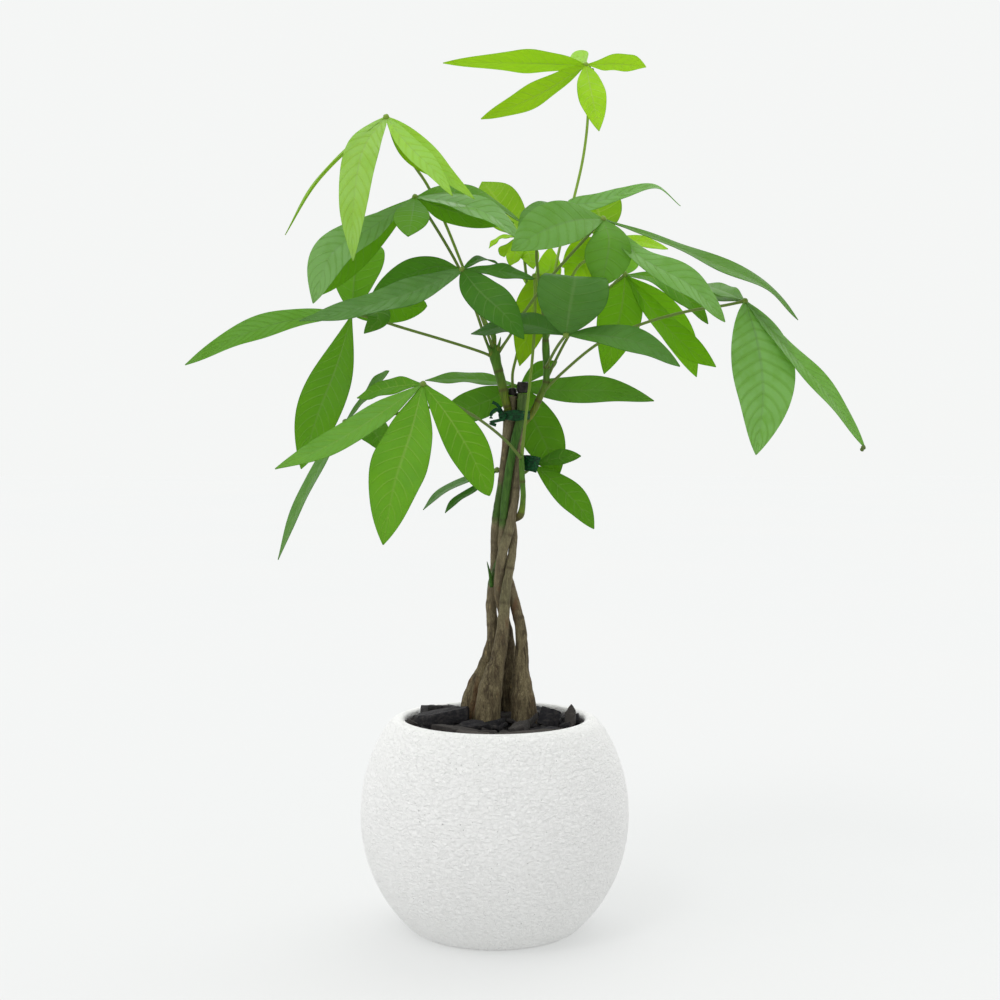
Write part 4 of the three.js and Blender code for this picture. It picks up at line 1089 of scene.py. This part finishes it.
LEAVES = [
    Leaf("leaf_top", "leaf_lime", [
        (41.6, -5, 488), (46, 2, 508), (49, 14, 531), (54, 30, 556), (66, 56, 598), (73.6, 64, 633),
        (77, 66, 669), (75, 60, 705),
    ], [
        Leaflet(27, [(46.4, 60, 706.1), (13.5, 56, 706.9), (-42.6, 50, 706.5)], BACK, lean=58, widest=0.5,
                fresh=1, gloss_and_sheen=0.15),
        Leaflet(25, [(35.7, 38, 680.6), (-11.3, 15, 660.4)], BACK, lean=50, widest=0.5, fresh=0.9),
        Leaflet(24, [(80.2, 28, 679.3), (86, 5, 650.5)], widest=0.48, fresh=0.9),
        Leaflet(23, [(101.6, 80, 706.1), (124.7, 95, 703.2)], BACK, lean=-64, fresh=1, gloss_and_sheen=0.15),
        Leaflet(15, [(73.6, 74, 710.6), (62.1, 92, 709), (57.1, 104, 698.3)], lean=-25, wave=0, fresh=1,
                gloss_and_sheen=1.2),
    ]),
    Leaf("leaf_high_left", "leaf_lime", [
        (1, 1, 470), (-3, 6, 484), (-12, 5, 503), (-26, -8, 538), (-41, -18, 575), (-55, -30, 605),
        (-69, -48, 626), (-89.5, -80, 662),
    ], [
        Leaflet(24, [(-117.5, -80, 638.1), (-147.2, -79, 606.8), (-172.7, -76, 564.8)], lean=-76,
                wave=0.3, fresh=0.4),
        Leaflet(28, [(-107.6, -91, 636.5), (-115.9, -102, 592), (-116.7, -105, 543.4)], lean=-15,
                widest=0.45, fresh=0.6, gloss_and_sheen=1.6, pucker=0.55),
        Leaflet(17, [(-70.6, -96, 638.1), (-52.4, -106, 620), (-34.7, -112, 596.9)], lean=20, wave=0.4,
                widest=0.45, fresh=1, gloss_and_sheen=1.4),
        Leaflet(18, [(-63.2, -86, 638.1), (-42.6, -95, 616.7), (-16.6, -100, 594.5)], lean=20, wave=0.4,
                widest=0.42, fresh=0.9, gloss_and_sheen=0.9),
        Leaflet(15, [(-73, -72, 637.3), (-53.3, -70, 613.8)], wave=0.4),
    ]),
    Leaf("leaf_middle_left", "leaf_green", [
        (-2.5, 1, 466), (-8, 3, 480), (-15, -8, 501), (-29.4, -34, 537.6), (-54, -52, 579.6),
        (-65.6, -62, 596),
    ], [
        Leaflet(32, [(-99.4, -74, 572.2), (-134, -86, 549.2), (-149.7, -88, 508.4)], lean=-20,
                widest=0.62, fresh=0.7, gloss_and_sheen=2.2, pucker=0.5),
        Leaflet(28, [(-68.1, -92, 580.5), (-71.4, -118, 563.6)], wave=0.3, widest=0.58, fresh=0.8),
        Leaflet(34, [(-35.1, -74, 592), (-5.5, -80, 582.1), (20.9, -84, 561.5)], lean=55, fresh=1,
                gloss_and_sheen=1.9),
        Leaflet(30, [(-36.8, -52, 599.4), (-6.3, -38, 592), (21.7, -22, 575.5)], lean=58, fresh=0.7),
        Leaflet(24, [(-35.1, -58, 585), (15.9, -56, 574.7)], BACK, lean=-25, fresh=1),
        Leaflet(28, [(-109.3, -48, 558.2), (-143.1, -46, 515.4)], BACK, lean=10, widest=0.55, fresh=1),
    ]),
    Leaf("leaf_long_left", "leaf_dark", [
        (-2, -6, 473), (-10.4, -30, 496), (-17, -55, 513), (-27, -85, 536),
    ], [
        Leaflet(28, [(-68.1, -98, 517.4), (-117.5, -110, 503), (-161.2, -116, 494)], lean=-42, wave=1.6,
                widest=0.4, fresh=0.6, gloss_and_sheen=0.9),
        Leaflet(24, [(-48.3, -68, 539.3), (-76.3, -55, 529.4), (-101, -45, 516.2)], BACK, lean=42,
                fresh=1),
        Leaflet(12, [(-11.3, -70, 545), (3.2, -52, 540.9)], lean=60, wave=0.4),
        Leaflet(18, [(3.6, -92, 534.7), (32.8, -88, 528.6)], lean=50),
        Leaflet(30, [(-12.1, -104, 517.9), (7.7, -116, 499.7), (24.2, -120, 479.1)], lean=15, widest=0.46,
                fresh=0.6),
    ]),
    Leaf("leaf_hanging_left", "leaf_green", [
        (-2, -4, 464.5), (-10, -6, 468), (-41, -8, 478), (-78, -14, 489), (-103, -20, 497),
        (-117.5, -24, 500),
    ], [
        Leaflet(38, [(-129.9, -34, 457.7), (-145.5, -42, 417.3), (-159.5, -38, 372)], lean=-10, wave=0.6,
                widest=0.57, fresh=0.8),
        Leaflet(44, [(-115.1, 5, 534.3), (-109.3, 30, 556.6), (-103.5, 55, 558.2)], BACK, wave=0.3,
                widest=0.5, fresh=0.9),
        Leaflet(28, [(-84.6, 0, 504.7), (-55.7, 20, 506.3)], BACK, lean=-25, wave=0.3, full=0.6, fresh=1),
        Leaflet(20, [(-101, -35, 503.8), (-96.1, -45, 495.6), (-107.6, -50, 483.7)], lean=30, wave=0.3,
                fresh=0.3),
        Leaflet(21, [(-160.4, -34, 496.4), (-207.3, -46, 483.3), (-255.1, -55, 457.7)], BACK, lean=38,
                wave=1.2, fresh=1, gloss_and_sheen=0.9),
    ]),
    Leaf("leaf_upper_right", "leaf_green", [
        (3, -3, 468), (12.6, -8, 482), (25, -14, 502), (47, -36, 531), (73.6, -62, 560.7),
        (89.3, -80, 578),
    ], [
        Leaflet(40, [(63.7, -98, 576.3), (38.2, -110, 567.3), (13.5, -118, 552)], lean=-20, wave=0.5,
                widest=0.5, fresh=0.9, gloss_and_sheen=1.1),
        Leaflet(36, [(94.2, -94, 559.9), (91.7, -92, 540.9), (86.8, -86, 522)], wave=0.5, widest=0.53,
                fresh=1, gloss_and_sheen=0.5),
        Leaflet(31, [(119.7, -94, 546.7), (162.6, -100, 522), (189.8, -100, 493.1)], lean=42, wave=1.4,
                widest=0.58, fresh=1, gloss_and_sheen=1.3),
        Leaflet(26, [(136.2, -66, 560.7), (177.4, -58, 542.6), (222.7, -50, 522), (249.9, -45, 494.8)],
                lean=62, wave=1.2, widest=0.6, gloss_and_sheen=0.3),
    ]),
    Leaf("leaf_curled_back", "leaf_green", [
        (40.6, -9, 496), (38.2, -15, 512), (36, -18, 530), (35, -18, 556), (44, -14, 575.5),
        (58.8, -10, 589.5),
    ], [
        Leaflet(16, [(80.2, -12, 591.2), (104.9, -14, 598.6), (132.9, -12, 604.3), (153.1, -5, 588.7)],
                lean=15, tip_lean=70, wave=0.2, widest=0.28, fresh=1, gloss_and_sheen=1.6),
        Leaflet(32, [(42.3, -40, 582.1), (20.1, -62, 563.2)], lean=-30, fresh=0.4, gloss_and_sheen=0.5),
    ]),
    Leaf("leaf_lime_back_right", "leaf_lime", [
        (43, -1, 480), (50, 10, 497), (67.8, 4, 537.6), (77.7, -4, 546), (86.8, -10, 560.7),
    ], [
        Leaflet(46, [(86, 12, 581.3), (79.4, 28, 596.1), (76.9, 43, 593.6)], BACK, wave=0.3, fresh=0.1),
        Leaflet(15, [(120.6, 5, 559), (142.8, 15, 553.3)], lean=45, wave=0.3, fresh=1),
        Leaflet(28, [(75.2, 20, 550.8), (55.5, 45, 538.4)], BACK, lean=10, fresh=0.8),
        Leaflet(26, [(86.8, 0, 545.9), (80.2, 8, 523.6)], BACK, fresh=0.7),
        Leaflet(26, [(72, 25, 542.6), (58.8, 40, 524.4)], BACK, fresh=1),
    ]),
    Leaf("leaf_lime_back_left", "leaf_lime", [
        (17.2, 7, 423), (15.4, 13, 434), (14.7, 13, 450), (17.6, 14, 463.5), (20, 14, 474),
        (26.6, 20, 511), (22.5, 15, 564),
    ], [
        Leaflet(38, [(13.5, 45, 577.2), (-1.4, 75, 597.8), (-10.4, 108, 608.5)], BACK, wave=0.3,
                widest=0.58, fresh=0),
        Leaflet(16, [(28, 6, 549.5), (32, -5, 537)], (0, -0.7, 0.7), fresh=0.7),
        Leaflet(22, [(12.6, 25, 556), (7.7, 35, 546.7)], (0, -0.4, 0.9), fresh=0.6),
        Leaflet(14, [(17, 5, 550), (12.6, -5, 539.3)], (0, -0.6, 0.8), fresh=0.8),
        Leaflet(8, [(4, 10, 562), (-4.7, 4, 554)], (-0.3, -0.5, 0.8), fresh=0.8),
    ]),
    Leaf("leaf_lime_centre", "leaf_lime", [
        (22.2, -16, 382), (25, -18, 409), (27.5, -18, 430), (29, -15, 443), (31.6, -8, 470),
        (33.2, -3, 503), (33.2, 4, 531),
    ], [
        Leaflet(30, [(29.9, 7, 496.4), (20.5, 3, 456.9)], BACK, widest=0.45),
        Leaflet(22, [(44.8, 32, 536), (46.4, 50, 554.9)], BACK, wave=0.3, fresh=0.9),
        Leaflet(32, [(38, 45, 527), (42, 80, 515)], (0, 0.3, 0.95)),
    ]),
    Leaf("leaf_dark_centre", "leaf_dark", [
        (42.5, -4, 456), (48, -34, 466.8), (53, -70, 475), (58.8, -105, 482.4),
    ], [
        Leaflet(54, [(62.1, -118, 506.3), (66.2, -112, 529), (59.6, -58, 519.5)], fold=2, wave=0,
                widest=0.5, full=0.75, fresh=0.6, gloss_and_sheen=0.35),
        Leaflet(27, [(89.3, -108, 481.6), (123, -110, 474.2), (152.7, -110, 456.5)], lean=42, wave=0.6,
                fresh=0.8, gloss_and_sheen=0.45),
        Leaflet(30, [(20.9, -84, 491.1), (-19.5, -60, 483.3)], lean=-52, gloss_and_sheen=0.15),
    ]),
    Leaf("leaf_lime_right", "leaf_bright", [
        (42.5, -2, 446), (60.4, 4, 480.8), (78.5, 6, 507), (107.4, 12, 532),
    ], [
        Leaflet(37, [(104.9, 2, 506.3), (98.3, -2, 479.1), (90.1, -2, 450.3)], BACK, wave=0.5,
                widest=0.42, fresh=0.7),
        Leaflet(25, [(128, 6, 504.7), (152.7, 10, 477.5), (182.3, 12, 456.1)], lean=25, wave=2.4, waves=3,
                widest=0.6, fresh=1),
        Leaflet(28, [(132.9, 30, 508.8), (152.7, 42, 480), (166.3, 50, 447.8)], BACK, lean=-20, wave=0.4,
                fresh=1, gloss_and_sheen=0.1),
        Leaflet(23, [(133.7, -6, 528.6), (159.3, -12, 511.3), (175.8, -14, 491.5)], lean=38, wave=1.2,
                fresh=0.3),
        Leaflet(22, [(109, 50, 544.2), (109.8, 85, 558.2)], BACK, wave=0.3, fresh=1),
    ]),
    Leaf("leaf_far_right", "leaf_green", [
        (41, -2, 437), (53.8, -6, 449.5), (86, -14, 475.8), (121.4, -22, 491.5), (159.3, -28, 502),
        (190.6, -32, 507), (206.2, -34, 510.4),
    ], [
        Leaflet(54, [(216.9, -50, 474.2), (221.1, -60, 431.4), (215.3, -62, 383.6)], lean=15, wave=0.4,
                widest=0.48, fresh=1, gloss_and_sheen=1.7, pucker=0.5),
        Leaflet(24, [(239.2, -50, 472.5), (276.3, -60, 431.4), (305.1, -70, 389.3)], lean=45, fresh=1,
                gloss_and_sheen=1),
        Leaflet(22, [(187.3, -8, 518.7), (169.2, 22, 524.4)], lean=-45, gloss_and_sheen=0.6),
        Leaflet(18, [(187.3, 10, 513.7), (166.7, 30, 513.7)], lean=-45, wave=0.3),
    ]),
    Leaf("leaf_front_left", "leaf_bright", [
        (21.6, -17, 381), (11, -26, 393.5), (-12, -60, 412.4), (-36.8, -88, 427.2), (-59, -110, 442),
    ], [
        Leaflet(26, [(-89.5, -114, 420.6), (-132.4, -124, 393.5), (-181, -132, 372)], lean=-40, wave=0.7,
                widest=0.55, fresh=0.4, gloss_and_sheen=0.5, pucker=0.35),
        Leaflet(43, [(-68.9, -122, 402.5), (-82.1, -134, 361.3), (-92, -140, 309.4)], lean=-10, wave=1.7,
                waves=6, widest=0.55, gloss_and_sheen=0.15, pucker=0.4),
        Leaflet(31, [(-37.6, -122, 414.1), (-18.7, -126, 382.7), (-4.2, -122, 349.8)], lean=15, wave=0.8,
                widest=0.58, full=0.7, fresh=0.4, pucker=0.35),
        Leaflet(21, [(-87, -88, 438.8), (-113.4, -70, 430.5)], lean=-50, fresh=0.2),
    ]),
    Leaf("leaf_behind_left", "leaf_green", [
        (10.6, 9, 423.5), (8, 22, 426), (-12, 36, 427), (-45, 34, 424), (-90, 8, 416), (-123, -5, 411),
    ], [
        Leaflet(22, [(-101, -22, 437), (-87, -38, 452.8)], (0.2, -0.6, 0.75), fresh=0.3),
        Leaflet(20, [(-139.8, 0, 381.9), (-161.2, 3, 341.6), (-178.5, 4, 297.1)], lean=-58, wave=0.4,
                fresh=0.1, gloss_and_sheen=0.8),
        Leaflet(24, [(-101, -25, 404), (-90, -35, 386)], (0, -0.8, 0.5)),
    ]),
    Leaf("leaf_behind_stems", "leaf_green", [
        (23, 3, 424), (22.5, 12, 430), (20.9, 22, 440.4),
    ], [
        Leaflet(26, [(-18.7, 28, 445.8), (-57.4, 30, 444.9)], lean=-66),
        Leaflet(28, [(-12.1, 13, 425.6), (-46.7, 8, 414.1)], lean=-15, fresh=0.6, gloss_and_sheen=0.15),
        Leaflet(37, [(30.8, 25, 415.7), (43.1, 22, 389.3), (51.4, 18, 363)], lean=10, wave=0.5,
                widest=0.5, fresh=0.6),
        Leaflet(27, [(55.5, 22, 436.7), (95, 18, 436.3), (131.3, 14, 428.1)], lean=30, wave=0.6,
                widest=0.48, fresh=0.6, gloss_and_sheen=0.3),
        Leaflet(16, [(37.4, 34, 453.6), (51.4, 40, 460.6)], lean=35, wave=0.3),
    ]),
    Leaf("leaf_low_right", "leaf_green", [
        (17.5, 1, 366), (25, 8, 369), (32.4, 10, 375.3),
    ], [
        Leaflet(25, [(49.7, 6, 360.5), (67.8, 2, 343.2), (81.8, 0, 322.6)], lean=25, wave=0.5, fresh=0.7),
        Leaflet(16, [(53, 6, 381.1), (71.1, 4, 382.7)], lean=40, wave=0.3, fresh=0.4),
    ]),
    Leaf("leaf_low_left", "leaf_dark", [
        (6, 2, 371), (4, 5, 371.4), (1.9, 7, 371.2),
    ], [
        Leaflet(15, [(-20.3, 6, 363.8), (-44.2, 4, 352.3), (-59, 2, 338.3)], lean=-68, wave=0.3, gloss_and_sheen=1),
        Leaflet(13, [(-16.2, -2, 355.6), (-31.8, -6, 345.7), (-40.9, -10, 335.8)], lean=-65, wave=0.3,
                fresh=0.3),
    ]),
]

# Dried buds and curled-up tips: place and radius
KNOBS = {
    "leaf_top": (((78.2, 59, 702.6), 1.5), ((80.6, 58.5, 701), 1.6), ((81.6, 58.4, 698.6), 1.5)),
    "leaf_far_right": (((303.8, -70, 389.6), 1.9), ((302.6, -69, 388), 1.5)),
}

# Places across a blade from its left edge to its midrib, as shares of its half width
ACROSS = (1.0, 0.985, 0.92, 0.78, 0.6, 0.42, 0.25, 0.12, 0.05)
ACROSS = np.array([-s for s in ACROSS] + [0.0] + list(reversed(ACROSS)))


def blade_width(t, widest, full):
    """Share of the full width at each t, greatest at t = widest. A smaller full is blunter."""
    return np.maximum(np.sin(np.pi * t ** (math.log(0.5) / math.log(widest))), 0) ** full


def blade_sheet(hub, leaflet):
    """The middle surface of a leaflet's blade: its midrib, half width and rise above it."""
    base, end = seen(hub), seen(leaflet.places[-1])
    path = curve_seen([hub, *leaflet.places])
    t = np.linspace(0, 1, BLADE_STATIONS + 1)
    centre = np.array([path(step) for step in t])
    along = unit(np.gradient(centre, axis=0))
    side = unit(np.cross(end - base, leaflet.face))
    across = unit(side - (along @ side)[:, None] * along)
    up = np.cross(across, along)
    lean = leaflet.lean
    tip_lean = lean if leaflet.tip_lean is None else leaflet.tip_lean
    turn = np.radians(lean + (tip_lean - lean) * t)[:, None]
    across, up = (
        across * np.cos(turn) + up * np.sin(turn), up * np.cos(turn) - across * np.sin(turn),
    )
    shape = blade_width(t, leaflet.widest, leaflet.full)
    least = BLADE_BASE_HALF + (BLADE_TIP_HALF - BLADE_BASE_HALF) * t
    half = np.maximum(leaflet.width / 2 * shape, least)
    fold = math.radians(leaflet.fold)
    wave = leaflet.wave * np.sin(leaflet.waves * np.pi * t) * shape
    s = ACROSS[None]
    reach = np.abs(s)
    height = half[:, None] * math.sin(fold) * (1.5 * reach - 0.5 * reach ** 2)
    height = height - s * reach * wave[:, None]
    middle = centre[:, None] + across[:, None] * (s * half[:, None] * math.cos(fold))[..., None]
    return t, centre, middle + up[:, None] * height[..., None], up, half, shape


def add_blade(skin, hub, leaflet):
    """Thin closed blade with a raised midrib beneath and puckers between the veins."""
    t, centre, middle, up, half, shape = blade_sheet(hub, leaflet)
    s = ACROSS[None]
    reach = np.abs(s)
    length = np.linalg.norm(np.diff(centre, axis=0), axis=1).sum()
    veins = max(4, round(length / VEIN_SPACING))
    vein = veins * (t[:, None] - VEIN_SLANT * reach ** 1.2 * (0.6 + 0.8 * t[:, None]))
    puff = np.abs(np.sin(np.pi * vein)) ** 0.6 - 0.6
    puff = leaflet.pucker * puff * shape[:, None] * (1 - reach ** 3) * np.minimum(1, reach / 0.12)
    middle = middle + up[:, None] * puff[..., None]
    rib = RIB_DEPTH * (1 - 0.85 * t)[:, None] * np.exp(-(s * half[:, None] / 1.0) ** 2)
    top = middle + up[:, None] * BLADE_SKIN
    low = middle - up[:, None] * (BLADE_SKIN + rib)[..., None]
    rows, columns = len(t), len(ACROSS)
    place = np.stack([*np.broadcast_arrays(t[:, None], s), vein], -1)
    faces = grid_faces(rows, columns)
    count = rows * columns
    faces += [tuple(count + i for i in face) for face in grid_faces(rows, columns, flip=True)]
    for i in range(rows - 1):
        left, right = i * columns, i * columns + columns - 1
        faces.append((left, left + columns, count + left + columns, count + left))
        faces.append((right, count + right, count + right + columns, right + columns))
    last = (rows - 1) * columns
    for j in range(columns - 1):
        faces.append((j + 1, j, count + j, count + j + 1))
        faces.append((last + j, last + j + 1, count + last + j + 1, count + last + j))
    cast = np.zeros((2 * count, 3))
    cast[:, 0] = leaflet.fresh
    cast[:, 2] = leaflet.gloss_and_sheen
    cast[count:, 1] = 1
    skin.add(np.vstack([top.reshape(-1, 3), low.reshape(-1, 3)]), faces, 0,
             np.vstack([place.reshape(-1, 3)] * 2), cast)


def stalk_radius(t):
    """A little thicker where it leaves the wood, and at the hub."""
    return STALK_RADIUS * (1 + 0.35 * max(0.0, 1 - 9 * t) + 0.25 * max(0.0, 12 * t - 11))


def make_leaf(leaf, leaf_shade, stalk_shade):
    skin = Skin()
    fresh = float(np.mean([leaflet.fresh for leaflet in leaf.leaflets]))
    fresh = fresh if leaf.slot == "leaf_lime" else 0.4 * fresh
    path = curve_seen(leaf.stalk)
    add_tube(skin, path, stalk_radius, STALK_RINGS, STALK_SIDES, lambda t: (fresh, 0, 0), slot=1)
    hub = leaf.stalk[-1]
    add_ball(skin, seen(hub), HUB_RADIUS, slot=1, cast=(0.3 + 0.7 * fresh, 0, 0), rough=0.4)
    for leaflet in leaf.leaflets:
        add_blade(skin, hub, leaflet)
    for place, size in KNOBS.get(leaf.name, ()):
        add_ball(skin, seen(place), size, slot=1, rough=0.5)
    dress(leaf.name, skin, [leaf_shade, stalk_shade], leaf.slot)


def make_leaves():
    shades = {name: leaf_material(name) for name in LEAF_COLOURS}
    stalk = stalk_material()
    for leaf in LEAVES:
        make_leaf(leaf, shades[leaf.slot], stalk)


def dress_soil():
    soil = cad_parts["soil"]
    material = soil_material()
    for slot in soil.material_slots:
        slot.material = material


# Studio


def make_floor():
    mesh = bpy.data.meshes.new("floor")
    corners = [(-1, -1), (1, -1), (1, 1), (-1, 1)]
    mesh.from_pydata([(x * FLOOR_REACH, y * FLOOR_REACH, 0) for x, y in corners], [], [(0, 1, 2, 3)])
    mesh.materials.append(floor_material())
    floor = add_object("floor", mesh)


def make_sun(name, power, spread, pitch, turn):
    data = bpy.data.lights.new(name, "SUN")
    data.energy = power
    data.angle = math.radians(spread)
    add_object(name, data).rotation_euler = (0, math.radians(90 - pitch), math.radians(turn))


def make_world():
    """Pale room light, a little brighter from behind and above, and its colour as seen."""
    shade = Shade("room", bpy.data.worlds)
    _, depth, rise = shade.parts(shade.way["Generated"])
    level = shade.maths("MULTIPLY_ADD", rise, 0.18, shade.maths("MULTIPLY_ADD", depth, 0.22, 0.86))
    lit = shade.node("ShaderNodeBackground", {"Color": (1.0, 1.0, 1.0), "Strength": level}).outputs[0]
    shown = shade.node("ShaderNodeBackground", {"Color": (0.912, 0.923, 0.915)}).outputs[0]
    straight = shade.node("ShaderNodeLightPath").outputs["Is Camera Ray"]
    both = shade.node("ShaderNodeMixShader", {0: straight, 1: lit, 2: shown})
    bpy.context.scene.world = shade.finish(both.outputs[0], "ShaderNodeOutputWorld")


def make_camera():
    """At the photograph's viewing angle: level, a little over half the plant's height."""
    data = bpy.data.cameras.new("camera")
    data.sensor_width = SENSOR_WIDTH
    data.lens = LENS
    data.shift_x, data.shift_y = FRAME_SHIFT
    data.clip_end = 60
    camera = add_object("camera", data)
    camera.location = (0, -EYE_DISTANCE * MM, (EYE_HEIGHT - FLOOR_LEVEL) * MM)
    camera.rotation_euler = (math.radians(90), 0, 0)
    bpy.context.scene.camera = camera


make_camera()
make_pot()
dress_soil()
make_chips()
make_wood()
make_seals()
make_ties()
make_leaves()
make_floor()
make_world()
for sun, values in SUNS.items():
    make_sun(sun, *values)
bpy.context.scene.view_settings.view_transform = "Standard"
